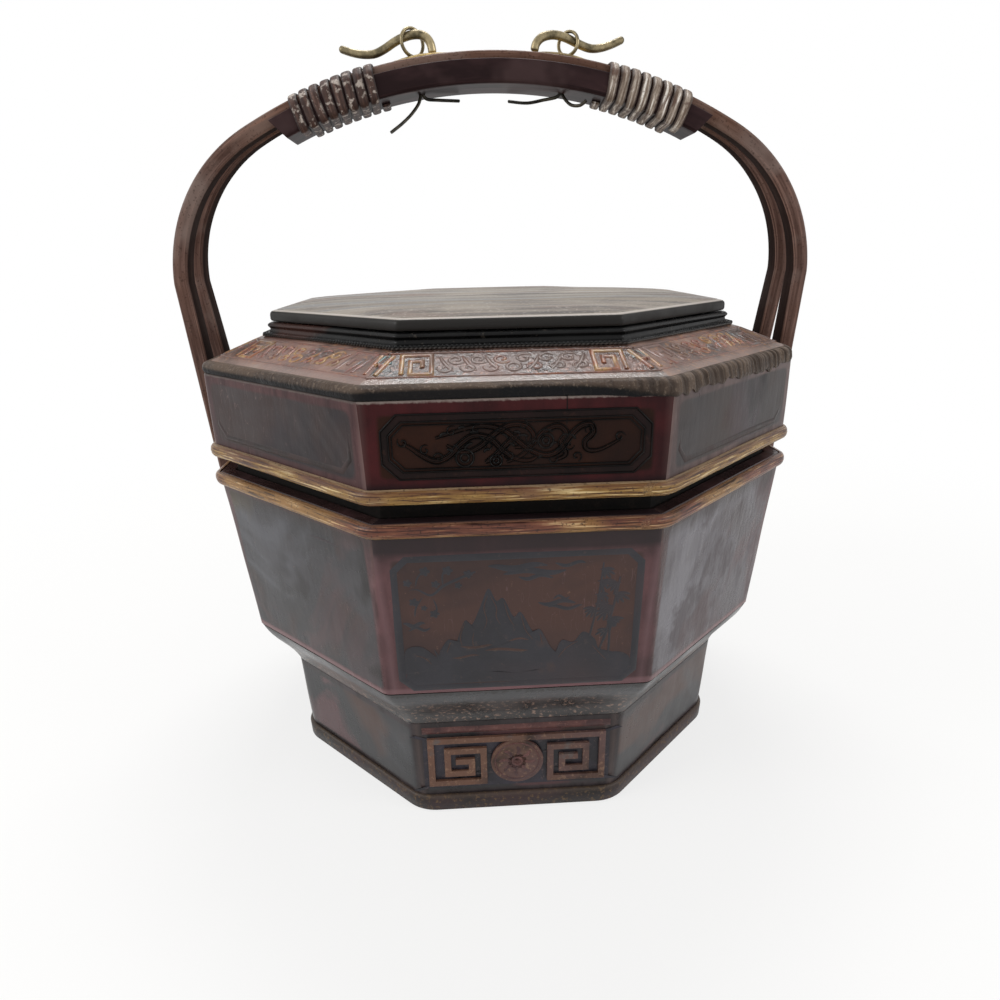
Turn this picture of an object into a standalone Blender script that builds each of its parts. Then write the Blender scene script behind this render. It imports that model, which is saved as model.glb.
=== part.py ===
# Octagonal lacquered food basket. A foot and a body of mitred boards carry a lid with a
# stepped, cushioned top, which slips over an inner collar. Two bent bamboo bars pegged to
# the body make the arch handle, and a lashed trough joins them into the grip.
# Metres, +Z up, front towards -Y, origin under the middle of the foot.
import math

import bmesh
import bpy
from mathutils import Matrix, Vector

# Clearances
seat_gap = 0.0003
collar_clearance = 0.0009
cut_overrun = 0.002

# Heights, each measured from the piece below it
foot_height = 0.0505
moulding_height = 0.0255
body_height = 0.0820
reveal_height = 0.0078
lid_wall_height = 0.0392
bead_height = 0.0055
shoulder_rise = 0.0094
lower_step_height = 0.0062
upper_step_height = 0.0048
top_crown = 0.0030
# How far out each level of the cushion lies, and how flat its middle is
cushion_shares = (0.975, 0.94, 0.89, 0.82, 0.72, 0.58, 0.36)
cushion_power = 6

# Reach is the distance from the middle to the flat faces
foot_base_reach = 0.1099
foot_top_reach = 0.1119
body_base_reach = 0.1271
body_rim_reach = 0.1368
# How far each piece of the lid's top draws in from the one below
bead_run = 0.0035
shoulder_run = 0.0233
step_run = 0.0026

# Half the width of the front face, as a share of the reach at that level
foot_base_face_share = 0.414
foot_top_face_share = 0.439
body_base_face_share = 0.449
body_rim_face_share = 0.411
lid_face_share = 0.422
shoulder_foot_face_share = 0.424
step_face_share = 0.410

# Board and panel thicknesses
foot_wall = 0.0070
body_wall = 0.0075
lid_wall = 0.0070
moulding_ledge = 0.0140
floor_thickness = 0.0060
shoulder_thickness = 0.0040
shoulder_seat = 0.0080
front_plank_width = 0.0950

# Foot rim, the band round the ground edge
rim_height = 0.0085
rim_proud = 0.0020
rim_edge_share = 0.33
rim_corner_radius = 0.0080

# Hoops of half-round split bamboo, flattened where they bend round a corner
hoop_height = 0.0060
hoop_proud = 0.0034
hoop_corner_radius = 0.0020
hoop_bend_radius = 0.0180
hoop_steps = 8

# Rolled bead at the top of the lid wall
bead_proud = 0.0012
bead_corner_radius = 0.0030
bead_steps = 6

# Inner collar and the batten in the lid that rests on it
collar_depth = 0.0300
collar_stand = 0.0285
collar_thickness = 0.0050
batten_height = 0.0070
batten_width = 0.0100

# Raised meander on the front and back of the foot
fret_thickness = 0.0016
fret_width = 0.0836
fret_height = 0.0244
fret_strip = 0.0030
fret_base = 0.0162
boss_radius = 0.0122
# Columns and rows of the right-hand spiral, from the top bar's middle inwards
spiral_shares = (
    (1, 0), (1, 1), (0.39, 1), (0.39, 0.25), (0.81, 0.25), (0.81, 0.78), (0.53, 0.78), (0.53, 0.50),
    (0.68, 0.50),
)

# Handle arch, measured on its outer contour
arch_height = 0.3433
crown_radius = 0.2400
shoulder_radius = 0.0800
leg_slope_share = 0.120
leg_foot_height = 0.0030
leg_foot_offset = 0.0225
leg_foot_depth = 0.0165
bar_depth = 0.0088
bar_thickness = 0.0072
bar_chamfer = 0.0016
bar_gap = 0.0036
spread_start = 0.0200

# Grip trough under the bars
grip_half_length = 0.1110
grip_cut = 0.0110
grip_ridge = 0.0040
grip_drop = 0.0142
grip_depth = 0.0275
grip_chamfer = 0.0015

# Rattan lashings round the grip
lashing_start = 0.0525
lashing_turns = 8
lashing_pitch = 0.0054
lashing_width = 0.0044
lashing_thickness = 0.0011
lashing_edge_share = 0.6
lashing_flat_share = 0.7

# Pegs through the feet of the legs
peg_radius = 0.0025
peg_inset = 0.0095
peg_proud = 0.0006
peg_length = 0.0155

# Brass plates, split-pin eyes and swan hooks on the crown
plate_middle = 0.0335
plate_half_length = 0.0150
plate_half_width = 0.0080
plate_edge = 0.0009
plate_dome = 0.0007
plate_end_share = 0.02
eye_place = 0.0360
eye_radius = {"right": 0.0051, "left": 0.0060}
eye_stand = 0.0021
wire_width = 0.0020
wire_thickness = 0.0010
wire_spacing = 0.0015
pin_hole_radius = 0.0019
eye_turn = math.radians(-36)
hook_radius = 0.0020
hook_tip_radius = 0.0014
hook_turn = {"right": math.radians(9), "left": math.radians(8)}
# Middle lines of the swan hooks: distance out from the eye, then height above the bars
hook_line = {
    "right": (
        (-0.0159, 0.0020), (-0.0154, 0.0046), (-0.0132, 0.0073), (-0.0095, 0.0090), (-0.0055, 0.0096),
        (-0.0010, 0.0092), (0.0042, 0.0081), (0.0093, 0.0072), (0.0133, 0.0074), (0.0177, 0.0088),
        (0.0220, 0.0109), (0.0258, 0.0132),
    ),
    "left": (
        (-0.0087, 0.0027), (-0.0085, 0.0058), (-0.0072, 0.0085), (-0.0045, 0.0104), (-0.0005, 0.0111),
        (0.0040, 0.0108), (0.0085, 0.0097), (0.0130, 0.0081), (0.0172, 0.0070), (0.0207, 0.0069),
        (0.0252, 0.0078), (0.0296, 0.0094), (0.0336, 0.0114),
    ),
}
# Rounded nose at a hook's ends: width and reach shares
nose_shares = ((0.45, 0.5), (0.8, 0.25))
# Middle lines of the bent wire ends under the grip, from the hole, along and down
inner_wire = {
    "right": ((0.0022, 0.0014), (0.0090, 0.0026), (0.0180, 0.0040), (0.0290, 0.0034)),
    "left": ((0.0022, 0.0016), (0.0080, 0.0021), (0.0150, 0.0025), (0.0210, 0.0028)),
}
outer_wire = {
    "right": ((0.0022, 0.0024), (0.0060, 0.0046), (0.0105, 0.0046), (0.0135, 0.0026)),
    "left": ((0.0016, 0.0040), (0.0056, 0.0090), (0.0110, 0.0140), (0.0165, 0.0190)),
}

eighth_turn = math.pi / 4
tan_half_corner = math.tan(math.pi / 8)
cos_half_corner = math.cos(math.pi / 8)
arc_steps = 4
side_names = (
    "front", "front_right", "right", "back_right", "back", "back_left", "left", "front_left",
)
hands = {"left": -1, "right": 1}
banks = {"front": -1, "back": 1}

# Heights of the levels above the ground
body_base_height = foot_height + moulding_height
rim_top_height = body_base_height + body_height
lid_base_height = rim_top_height + reveal_height
wall_top_height = lid_base_height + lid_wall_height
shoulder_foot_height = wall_top_height + bead_height
lower_step_base = shoulder_foot_height + shoulder_rise
upper_step_base = lower_step_base + lower_step_height
crown_base = upper_step_base + upper_step_height

shoulder_foot_reach = body_rim_reach - bead_run
lower_step_reach = shoulder_foot_reach - shoulder_run
upper_step_reach = lower_step_reach - step_run

# A level is its reach, the half width of its front face, and its height
foot_low = (foot_base_reach, foot_base_reach * foot_base_face_share, 0)
foot_high = (foot_top_reach, foot_top_reach * foot_top_face_share, foot_height)
body_low = (body_base_reach, body_base_reach * body_base_face_share, body_base_height)
body_high = (body_rim_reach, body_rim_reach * body_rim_face_share, rim_top_height)
lid_low = (body_rim_reach, body_rim_reach * body_rim_face_share, lid_base_height)
lid_high = (body_rim_reach, body_rim_reach * lid_face_share, wall_top_height)
shoulder_low = (
    shoulder_foot_reach, shoulder_foot_reach * shoulder_foot_face_share, shoulder_foot_height,
)
shoulder_high = (lower_step_reach, lower_step_reach * step_face_share, lower_step_base)


def clear_scene():
    for obj in list(bpy.data.objects):
        bpy.data.objects.remove(obj, do_unlink=True)


def lacquer(name, colour, roughness, metallic=0.0):
    material = bpy.data.materials.new(name)
    material.use_nodes = True
    shader = material.node_tree.nodes["Principled BSDF"]
    shader.inputs["Base Color"].default_value = (*colour, 1.0)
    shader.inputs["Roughness"].default_value = roughness
    shader.inputs["Metallic"].default_value = metallic
    material.diffuse_color = (*colour, 1.0)
    return material


def inward(level, distance):
    """The same level, moved in square to every face."""
    reach, face, height = level
    return (reach - distance, face - distance * tan_half_corner, height)


def lifted(level, height):
    return (level[0], level[1], level[2] + height)


def between(low, high, height):
    """The level at a height on the faces from one level to another."""
    share = (height - low[2]) / (high[2] - low[2])
    return tuple(start + (end - start) * share for start, end in zip(low, high))


def octagon(level, radius=0.0, steps=1):
    """Corners anticlockwise from the front's right end, each an arc where a radius is given."""
    reach, face, height = level
    loop = []
    for quarter in range(4):
        turn = Matrix.Rotation(quarter * 2 * eighth_turn, 4, "Z")
        for index, corner in enumerate(((face, -reach), (reach, -face))):
            middle = (2 * quarter + index - 1.5) * eighth_turn
            corner = turn @ Vector((*corner, height))
            out = Vector((math.cos(middle), math.sin(middle), 0))
            centre = corner - out * (radius / cos_half_corner)
            for step in range(steps):
                share = step / (steps - 1) - 0.5 if steps > 1 else 0
                angle = middle + share * eighth_turn
                arm = Vector((math.cos(angle), math.sin(angle), 0)) * radius
                loop.append(centre + arm if steps > 1 else corner)
    return loop


def new_object(name, mesh_builder, material, smooth_angle=None):
    mesh = bpy.data.meshes.new(name)
    bmesh.ops.recalc_face_normals(mesh_builder, faces=mesh_builder.faces)
    mesh_builder.to_mesh(mesh)
    mesh_builder.free()
    if smooth_angle is not None:
        mesh.shade_smooth()
        mesh.set_sharp_from_angle(angle=smooth_angle)
    mesh.materials.append(material)
    obj = bpy.data.objects.new(name, mesh)
    bpy.context.collection.objects.link(obj)
    return obj


def skin(name, loops, material, wrap=False, fan_ends=False, smooth_angle=None):
    """One closed body through a row of loops: a ring where it wraps, else with capped ends."""
    builder = bmesh.new()
    rows = [[builder.verts.new(point) for point in loop] for loop in loops]
    pairs = list(zip(rows, rows[1:]))
    if wrap:
        pairs.append((rows[-1], rows[0]))
    for row, following in pairs:
        for index in range(len(row)):
            after = (index + 1) % len(row)
            builder.faces.new((row[index], row[after], following[after], following[index]))
    if not wrap:
        for row in (rows[0], rows[-1]):
            if fan_ends:
                for index in range(1, len(row) - 1):
                    builder.faces.new((row[0], row[index], row[index + 1]))
            else:
                builder.faces.new(row)
    return new_object(name, builder, material, smooth_angle)


def ring(name, section, material):
    """An octagonal ring from a closed section of levels."""
    return skin(name, [octagon(level) for level in section], material, wrap=True)


def rounded_ring(name, section, radii, material):
    """The same with rounded corners, each level having a radius of its own."""
    loops = [octagon(level, radius, arc_steps) for level, radius in zip(section, radii)]
    return skin(name, loops, material, wrap=True, smooth_angle=math.radians(35))


def mitred_boards(prefix, section, material):
    """Eight boards with the same section, each drawn back from its two mitres."""
    boards = []
    mitre_gap = seat_gap / 2 / cos_half_corner
    loops = [octagon(level) for level in section]
    for side, side_name in enumerate(side_names):
        start = [loop[side - 1] for loop in loops]
        end = [loop[side] for loop in loops]
        along = (end[0] - start[0]).normalized() * mitre_gap
        ends = ([point + along for point in start], [point - along for point in end])
        boards.append(skin(f"{prefix}_{side_name}", ends, material, fan_ends=True))
    return boards


def cut(target, cutter, operation="DIFFERENCE"):
    cutter.hide_render = True
    cutter.hide_set(True)
    cutter.display_type = "WIRE"
    modifier = target.modifiers.new(cutter.name, "BOOLEAN")
    modifier.operation = operation
    modifier.object = cutter


def rod(name, start, end, radius, sides, material):
    """A round rod from one point to another."""
    builder = bmesh.new()
    length = (end - start).length
    bmesh.ops.create_cone(
        builder, cap_ends=True, segments=sides, radius1=radius, radius2=radius, depth=length,
    )
    turn = (end - start).to_track_quat("Z", "Y").to_matrix().to_4x4()
    place = Matrix.Translation((start + end) / 2) @ turn
    bmesh.ops.transform(builder, matrix=place, verts=builder.verts)
    return new_object(name, builder, material, math.radians(40))


def slab(name, level, height, material):
    """An octagonal board standing on its level."""
    return skin(name, [octagon(level), octagon(lifted(level, height))], material)


def build_foot(wood, band):
    inner_low, inner_high = inward(foot_low, foot_wall), inward(foot_high, foot_wall)
    mitred_boards("foot_board", [foot_low, foot_high, inner_high, inner_low], wood)
    rim_edge = rim_proud * rim_edge_share
    rim_high = between(foot_low, foot_high, rim_height)
    section = [
        inward(foot_low, -seat_gap),
        inward(foot_low, -rim_proud),
        inward(between(foot_low, foot_high, rim_height - rim_edge), -rim_proud),
        inward(rim_high, rim_edge - rim_proud),
        inward(rim_high, -seat_gap),
    ]
    radii = [seat_gap] + [rim_corner_radius] * 3 + [seat_gap]
    rounded_ring("foot_rim", section, radii, band)


def fret_path():
    """The meander's middle line, from the left spiral's eye to the right spiral's."""
    half_width = (fret_width - fret_strip) / 2
    right = [Vector((across * half_width, -down * fret_height)) for across, down in spiral_shares]
    left = [Vector((-point.x, point.y)) for point in reversed(right)]
    return left + right


def strip_outline(path, width):
    """Both edges of a strip along a path of square turns."""
    edges = ([], [])
    for index, point in enumerate(path):
        before = (point - path[index - 1]).normalized() if index else None
        after = (path[index + 1] - point).normalized() if index + 1 < len(path) else None
        ends = [step for step in (before, after) if step is not None]
        normals = [Vector((-step.y, step.x)) for step in ends]
        offset = sum(normals, Vector((0, 0))) if len(normals) > 1 else normals[0]
        tip = Vector((0, 0))
        if before is None:
            tip = -after * width / 2
        if after is None:
            tip = before * width / 2
        edges[0].append(point + tip + offset * width / 2)
        edges[1].append(point + tip - offset * width / 2)
    return edges[0] + edges[1][::-1]


def extruded(name, outline, thickness, material):
    front = [Vector((point.x, 0, point.y)) for point in outline]
    back = [point + Vector((0, thickness, 0)) for point in front]
    return skin(name, [front, back], material)


def build_foot_frets(material):
    """A raised meander with a round boss, laid on the sloping front and back boards."""
    lean = math.atan2(foot_top_reach - foot_base_reach, foot_height)
    for side_name, turn in (("front", 0), ("back", math.pi)):
        outline = strip_outline(fret_path(), fret_strip)
        fret = extruded(f"foot_fret_{side_name}", outline, fret_thickness, material)
        boss_drop = boss_radius + fret_strip / 3
        back, front = Vector((0, 0, -boss_drop)), Vector((0, fret_thickness, -boss_drop))
        boss = rod(f"boss_{side_name}", back, front, boss_radius, 32, material)
        top_height = fret_base + fret_height
        reach = between(foot_low, foot_high, top_height)[0] + seat_gap / math.cos(lean)
        place = Matrix.Rotation(turn, 4, "Z") @ Matrix.Translation((0, -reach, top_height))
        place = place @ Matrix.Rotation(lean, 4, "X") @ Matrix.Translation((0, -fret_thickness, 0))
        for obj in (fret, boss):
            obj.matrix_world = place
        cut(fret, boss, "UNION")


def build_body(wood, moulding, cane, dark):
    mitre = [body_low, body_high, inward(body_high, body_wall), inward(body_low, body_wall)]
    boards = mitred_boards("body_board", mitre, wood)
    outer_low = lifted(foot_high, seat_gap)
    outer_high = lifted(body_low, -seat_gap)
    inner_high = inward(outer_high, moulding_ledge)
    inner_low = inward(outer_low, foot_wall)
    ring("base_moulding", [outer_low, outer_high, inner_high, inner_low], moulding)
    slab("floor_board", inward(body_low, body_wall + seat_gap), floor_thickness, wood)
    collar_low = between(body_low, body_high, rim_top_height - collar_depth)
    collar_low = inward(collar_low, body_wall + seat_gap)
    collar_middle = inward(body_high, body_wall + seat_gap)
    collar_neck = inward(lid_low, lid_wall + collar_clearance)
    collar_high = lifted(inward(collar_neck, collar_clearance), collar_stand - reveal_height)
    outer = [collar_low, collar_middle, collar_neck, collar_high]
    section = outer + [inward(level, collar_thickness) for level in reversed(outer)]
    ring("inner_collar", section, dark)
    hoop("body_hoop", between(body_low, body_high, rim_top_height - hoop_height), body_high, cane)
    return boards


def hoop(name, low, high, material):
    """A half-round strip bent round the boards between two levels."""
    section, radii = [], []
    for step in range(hoop_steps + 1):
        angle = math.pi * (step / hoop_steps - 0.5)
        height = (high[2] - low[2]) * (1 + math.sin(angle)) / 2
        proud = seat_gap + (hoop_proud - seat_gap) * math.cos(angle)
        section.append(inward(between(low, high, low[2] + height), -proud))
        radii.append(hoop_corner_radius + (hoop_bend_radius - hoop_corner_radius) * math.cos(angle))
    rounded_ring(name, section, radii, material)


def build_lid(wood, cane, moulding, dark):
    section = [lid_low, lid_high, inward(lid_high, lid_wall), inward(lid_low, lid_wall)]
    mitred_boards("lid_board", section, wood)
    hoop("lid_hoop", lid_low, lifted(lid_low, hoop_height), cane)
    batten_base = rim_top_height + collar_stand + seat_gap
    batten = inward(between(lid_low, lid_high, batten_base), lid_wall + seat_gap)
    batten_inner = inward(batten, batten_width)
    upper = [lifted(batten, batten_height), lifted(batten_inner, batten_height)]
    ring("lid_batten", [batten, *upper, batten_inner], dark)
    build_bead(moulding)
    build_shoulder(moulding)
    build_top(dark, wood)


def build_bead(material):
    """A rolled edge: a bulging quarter turn from the top of the wall in to the shoulder."""
    base = lifted(lid_high, seat_gap)
    crest = (shoulder_low[0] + seat_gap, shoulder_low[1], shoulder_low[2])
    section = [inward(base, lid_wall), base]
    for step in range(1, bead_steps + 1):
        angle = math.pi / 2 * step / bead_steps
        level = between(base, crest, base[2] + (crest[2] - base[2]) * math.sin(angle))
        round_out = (base[0] - crest[0]) * (math.cos(angle) - 1 + math.sin(angle))
        section.append(inward(level, -round_out - bead_proud * math.sin(2 * angle)))
    section.append((crest[0], crest[1], shoulder_underside(0) - seat_gap))
    rounded_ring("shoulder_bead", section, [bead_corner_radius] * len(section), material)


def shoulder_underside(share):
    """Height of the shoulder boards' lower face, from the outer edge inwards."""
    return shoulder_foot_height - shoulder_thickness + shoulder_rise * share


def build_shoulder(material):
    seat = (shoulder_high[0], shoulder_high[1], shoulder_high[2] - seat_gap)
    inner = inward(seat, shoulder_seat)
    under_inner = (inner[0], inner[1], shoulder_underside(1))
    under_outer = (shoulder_low[0], shoulder_low[1], shoulder_underside(0))
    mitred_boards("shoulder_board", [shoulder_low, seat, inner, under_inner, under_outer], material)


def build_top(edge_material, wood):
    """A lower step, then a cushioned board in two planks."""
    slab("lid_step", shoulder_high, lower_step_height - seat_gap, edge_material)
    base = (upper_step_reach, upper_step_reach * step_face_share, upper_step_base)
    loops = [octagon(base), octagon(lifted(base, upper_step_height))]
    for share in cushion_shares:
        height = crown_base + top_crown * (1 - share ** cushion_power)
        loops.append(octagon((base[0] * share, base[1] * share, height)))
    size = upper_step_reach + cut_overrun
    thickness = 2 * (upper_step_height + top_crown + cut_overrun)
    for name, bank in banks.items():
        plank = skin(f"top_plank_{name}", loops, wood, smooth_angle=math.radians(30))
        # The cutter takes away the other plank and half of the joint.
        edge = front_plank_width - upper_step_reach + bank * seat_gap / 2
        far = -bank * size
        builder = bmesh.new()
        bmesh.ops.create_cube(builder, size=1)
        scale = Matrix.Diagonal((2 * size, abs(far - edge), thickness, 1))
        place = Matrix.Translation((0, (edge + far) / 2, crown_base))
        bmesh.ops.transform(builder, matrix=place @ scale, verts=builder.verts)
        cut(plank, new_object(f"joint_{name}", builder, wood))


def leg_line():
    """Outer contour of the leg: where it passes the body hoop, and its foot on the wall."""
    hoop_low = between(body_low, body_high, rim_top_height - hoop_height)
    across = bar_thickness * math.hypot(1, leg_slope_share)
    hoop_point = Vector((body_rim_reach + hoop_proud + seat_gap + across, hoop_low[2]))
    foot_height_above = body_base_height + leg_foot_height
    foot_inner = between(body_low, body_high, foot_height_above)[0] + seat_gap
    drop = hoop_point.y - foot_height_above
    lower_slope = (hoop_point.x - across - foot_inner) / drop
    foot_outer = foot_inner + bar_thickness * math.hypot(1, lower_slope)
    return hoop_point, Vector((foot_outer, foot_height_above))


def shoulder_centre(hoop_point):
    """Centre of the bend, whose outermost point lies on the leg and which meets the crown arc."""
    crown_centre = arch_height - crown_radius
    low, high = hoop_point.y, arch_height
    for _ in range(60):
        middle = (low + high) / 2
        x = hoop_point.x + leg_slope_share * (middle - hoop_point.y) - shoulder_radius
        apart = math.hypot(x, middle - crown_centre)
        if apart < crown_radius - shoulder_radius:
            low = middle
        else:
            high = middle
    return Vector((x, middle))


def arch_pieces():
    """Lengths along the outer contour at which one piece of the arch ends and the next begins."""
    hoop_point, foot_point = leg_line()
    centre = shoulder_centre(hoop_point)
    crown_angle = math.atan2(centre.x, centre.y - (arch_height - crown_radius))
    kink = Vector((centre.x + shoulder_radius, centre.y))
    crown_end = crown_radius * crown_angle
    bend_end = crown_end + shoulder_radius * (math.pi / 2 - crown_angle)
    leg_end = bend_end + (kink - hoop_point).length
    foot_end = leg_end + (hoop_point - foot_point).length
    return {
        "centre": centre, "crown_angle": crown_angle, "kink": kink, "hoop": hoop_point, "foot": foot_point,
        "ends": (crown_end, bend_end, leg_end, foot_end),
    }


arch = arch_pieces()


def arch_frame(length):
    """Point and outward normal on the outer contour, at a length from the crown."""
    side = -1 if length < 0 else 1
    run = abs(length)
    crown_end, bend_end, leg_end, foot_end = arch["ends"]
    if run <= crown_end:
        angle = run / crown_radius
        normal = Vector((math.sin(angle), math.cos(angle)))
        point = Vector((0, arch_height - crown_radius)) + crown_radius * normal
    elif run <= bend_end:
        angle = arch["crown_angle"] + (run - crown_end) / shoulder_radius
        normal = Vector((math.sin(angle), math.cos(angle)))
        point = arch["centre"] + shoulder_radius * normal
    else:
        upper = run <= leg_end
        start, end = (arch["kink"], arch["hoop"]) if upper else (arch["hoop"], arch["foot"])
        run_start, run_end = (bend_end, leg_end) if upper else (leg_end, foot_end)
        point = start + (end - start) * (run - run_start) / (run_end - run_start)
        step = (end - start).normalized()
        normal = Vector((-step.y, step.x))
        if abs(run - leg_end) < seat_gap:
            above = (arch["hoop"] - arch["kink"]).normalized()
            below = (arch["foot"] - arch["hoop"]).normalized()
            middle = (above + below).normalized()
            normal = Vector((-middle.y, middle.x))
    return Vector((side * point.x, 0, point.y)), Vector((side * normal.x, 0, normal.y))


def on_arch(length, across, out):
    """World point at a length along the arch, across it towards the back, and out from it."""
    point, normal = arch_frame(length)
    return point + normal * out + Vector((0, across, 0))


def leg_share(length):
    """How far a length lies along the leg: 0 in the grip, easing in beyond it, 1 at the foot."""
    beyond = max(abs(length) - grip_half_length, 0)
    eased = beyond - spread_start / 2 if beyond > spread_start else beyond ** 2 / (2 * spread_start)
    return eased / (arch["ends"][3] - grip_half_length - spread_start / 2)


def bar_offset(length):
    """How far a bar's middle lies from the arch's middle plane: together in the grip, spread below."""
    together = (bar_gap + bar_depth) / 2
    return together + (leg_foot_offset - together) * leg_share(length)


def bar_section(length):
    """The bar's chamfered section, which grows deeper down the leg."""
    half = (bar_depth + (leg_foot_depth - bar_depth) * leg_share(length)) / 2
    low, chamfer = -bar_thickness, bar_chamfer
    right = [(half - chamfer, 0), (half, -chamfer), (half, low + chamfer), (half - chamfer, low)]
    return right + [(-across, out) for across, out in reversed(right)]


def build_bars(material):
    crown_end, bend_end, leg_end, foot_end = arch["ends"]
    lengths = [grip_half_length * step / 6 for step in range(7)]
    lengths += [crown_end + (bend_end - crown_end) * step / 8 for step in range(9)]
    lengths += [bend_end + (leg_end - bend_end) * step / 3 for step in range(1, 4)]
    lengths += [leg_end + (foot_end - leg_end) * step / 2 for step in range(1, 3)]
    lengths = [-length for length in reversed(lengths[1:])] + lengths
    bars = {}
    for bank_name, bank in banks.items():
        loops = []
        for length in lengths:
            middle = bank * bar_offset(length)
            section = bar_section(length)
            loops.append([on_arch(length, middle + across, out) for across, out in section])
        bars[bank_name] = skin(f"{bank_name}_arch_bar", loops, material, smooth_angle=math.radians(30))
    return bars


def build_grip(material):
    half, wall = grip_depth / 2, bar_gap / 2 + bar_depth + seat_gap
    floor = -bar_thickness - seat_gap
    right = [
        (wall, floor), (wall, -grip_ridge), (half, -grip_ridge),
        (half, -grip_drop + grip_chamfer), (half - grip_chamfer, -grip_drop),
    ]
    section = right + [(-across, out) for across, out in reversed(right)]
    stations = 16
    loops = []
    for step in range(-stations, stations + 1):
        loop = []
        for across, out in section:
            # The ends slant: the underside is shorter than the ridges.
            end = grip_half_length - grip_cut * (-out - grip_ridge) / (grip_drop - grip_ridge)
            loop.append(on_arch(end * step / stations, across, out))
        loops.append(loop)
    return skin("grip_trough", loops, material, smooth_angle=math.radians(30))


def lashing_loop():
    """One turn's path across the grip, as points across and out, from the middle of the underside."""
    half = grip_depth / 2 + seat_gap
    drop = -grip_drop - seat_gap
    chamfer = grip_chamfer
    wall_top = -grip_ridge + seat_gap
    bar_side = bar_gap / 2 + bar_depth - bar_chamfer + seat_gap
    top = seat_gap
    side = [
        (half / 3, drop), (2 * half / 3, drop), (half - chamfer, drop), (half, drop + chamfer),
        (half, (2 * drop + wall_top) / 3), (half, (drop + 2 * wall_top) / 3), (half, wall_top),
        ((half + bar_side) / 2, (wall_top + top) / 2),
        (bar_side, top), (2 * bar_side / 3, top), (bar_side / 3, top),
    ]
    return [(0, drop)] + side + [(0, top)] + [(-across, out) for across, out in reversed(side)]


def lashing_rings(side):
    """Flat strip sections along a helix that climbs evenly with the distance round the grip."""
    loop = lashing_loop()
    steps = [math.dist(point, loop[(index + 1) % len(loop)]) for index, point in enumerate(loop)]
    half, edge = lashing_width / 2, lashing_thickness * lashing_edge_share
    flat = half * lashing_flat_share
    section = (
        (-half, 0), (half, 0), (half, edge), (flat, lashing_thickness), (-flat, lashing_thickness),
        (-half, edge),
    )
    rings = []
    climbed = 0.0
    for index in range(lashing_turns * len(loop) + 1):
        across, out = loop[index % len(loop)]
        before, after = loop[(index - 1) % len(loop)], loop[(index + 1) % len(loop)]
        first = Vector((across - before[0], out - before[1])).normalized()
        second = Vector((after[0] - across, after[1] - out)).normalized()
        middle = (first + second).normalized()
        normal = Vector((middle.y, -middle.x)) / middle.dot(first)
        length = side * (lashing_start + half + lashing_pitch * climbed / sum(steps))
        rings.append([
            on_arch(length + along, across + normal.x * rise, out + normal.y * rise)
            for along, rise in section
        ])
        climbed += steps[index % len(loop)]
    return rings


def least_gap(rings):
    """Least distance between points of the strip that lie at least half a turn apart."""
    turn = len(lashing_loop())
    least = math.inf
    for index, ring_points in enumerate(rings):
        for other in rings[index + turn // 2:index + turn + 2]:
            least = min(least, min((a - b).length for a in ring_points for b in other))
    return least


def build_lashings(material):
    for hand, side in hands.items():
        rings = lashing_rings(side)
        skin(f"lashing_{hand}", rings, material, smooth_angle=math.radians(50))
        print(f"lashing_{hand}: least gap to itself {least_gap(rings) * 1000:.2f} mm")


def build_pegs(material, bars, boards):
    """A peg through each leg's foot into the side board."""
    length = arch["ends"][3] - peg_inset
    for hand, side in hands.items():
        board = boards[side_names.index(hand)]
        for bank_name, bank in banks.items():
            across = bank * bar_offset(length)
            outer, inner, hole_start, hole_end = (
                on_arch(side * length, across, out)
                for out in (peg_proud, peg_proud - peg_length, cut_overrun, -peg_length - cut_overrun)
            )
            name = f"{bank_name}_{hand}"
            rod(f"leg_peg_{name}", outer, inner, peg_radius, 16, material)
            hole = rod(f"hole_{name}", hole_start, hole_end, peg_radius + seat_gap, 16, material)
            cut(bars[bank_name], hole)
            cut(board, hole)


def build_plates(brass, grip):
    """Oval plates, thicker in the middle, bent over the crown of the bars."""
    plates = {}
    columns, rows = 12, 6
    for hand, side in hands.items():
        loops = []
        for column in range(columns + 1):
            share = math.cos(math.pi * (1 - column / columns))
            half = plate_half_width * math.sqrt(plate_end_share + (1 - plate_end_share) * (1 - share ** 2))
            length = side * (plate_middle + plate_half_length * share)
            under = [(half * (2 * row / rows - 1), seat_gap) for row in range(rows + 1)]
            over = []
            for across, _ in reversed(under):
                spread = min(share ** 2 + (across / plate_half_width) ** 2, 1)
                over.append((across, seat_gap + plate_edge + plate_dome * (1 - spread)))
            loops.append([on_arch(length, across, out) for across, out in under + over])
        plate = skin(f"plate_{hand}", loops, brass, smooth_angle=math.radians(50))
        above = on_arch(side * eye_place, 0, plate_edge + plate_dome + cut_overrun)
        below = on_arch(side * eye_place, 0, -grip_drop - cut_overrun)
        hole = rod(f"pin_hole_{hand}", above, below, pin_hole_radius, 16, brass)
        cut(plate, hole)
        cut(grip, hole)
        plates[hand] = plate
    return plates


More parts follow.
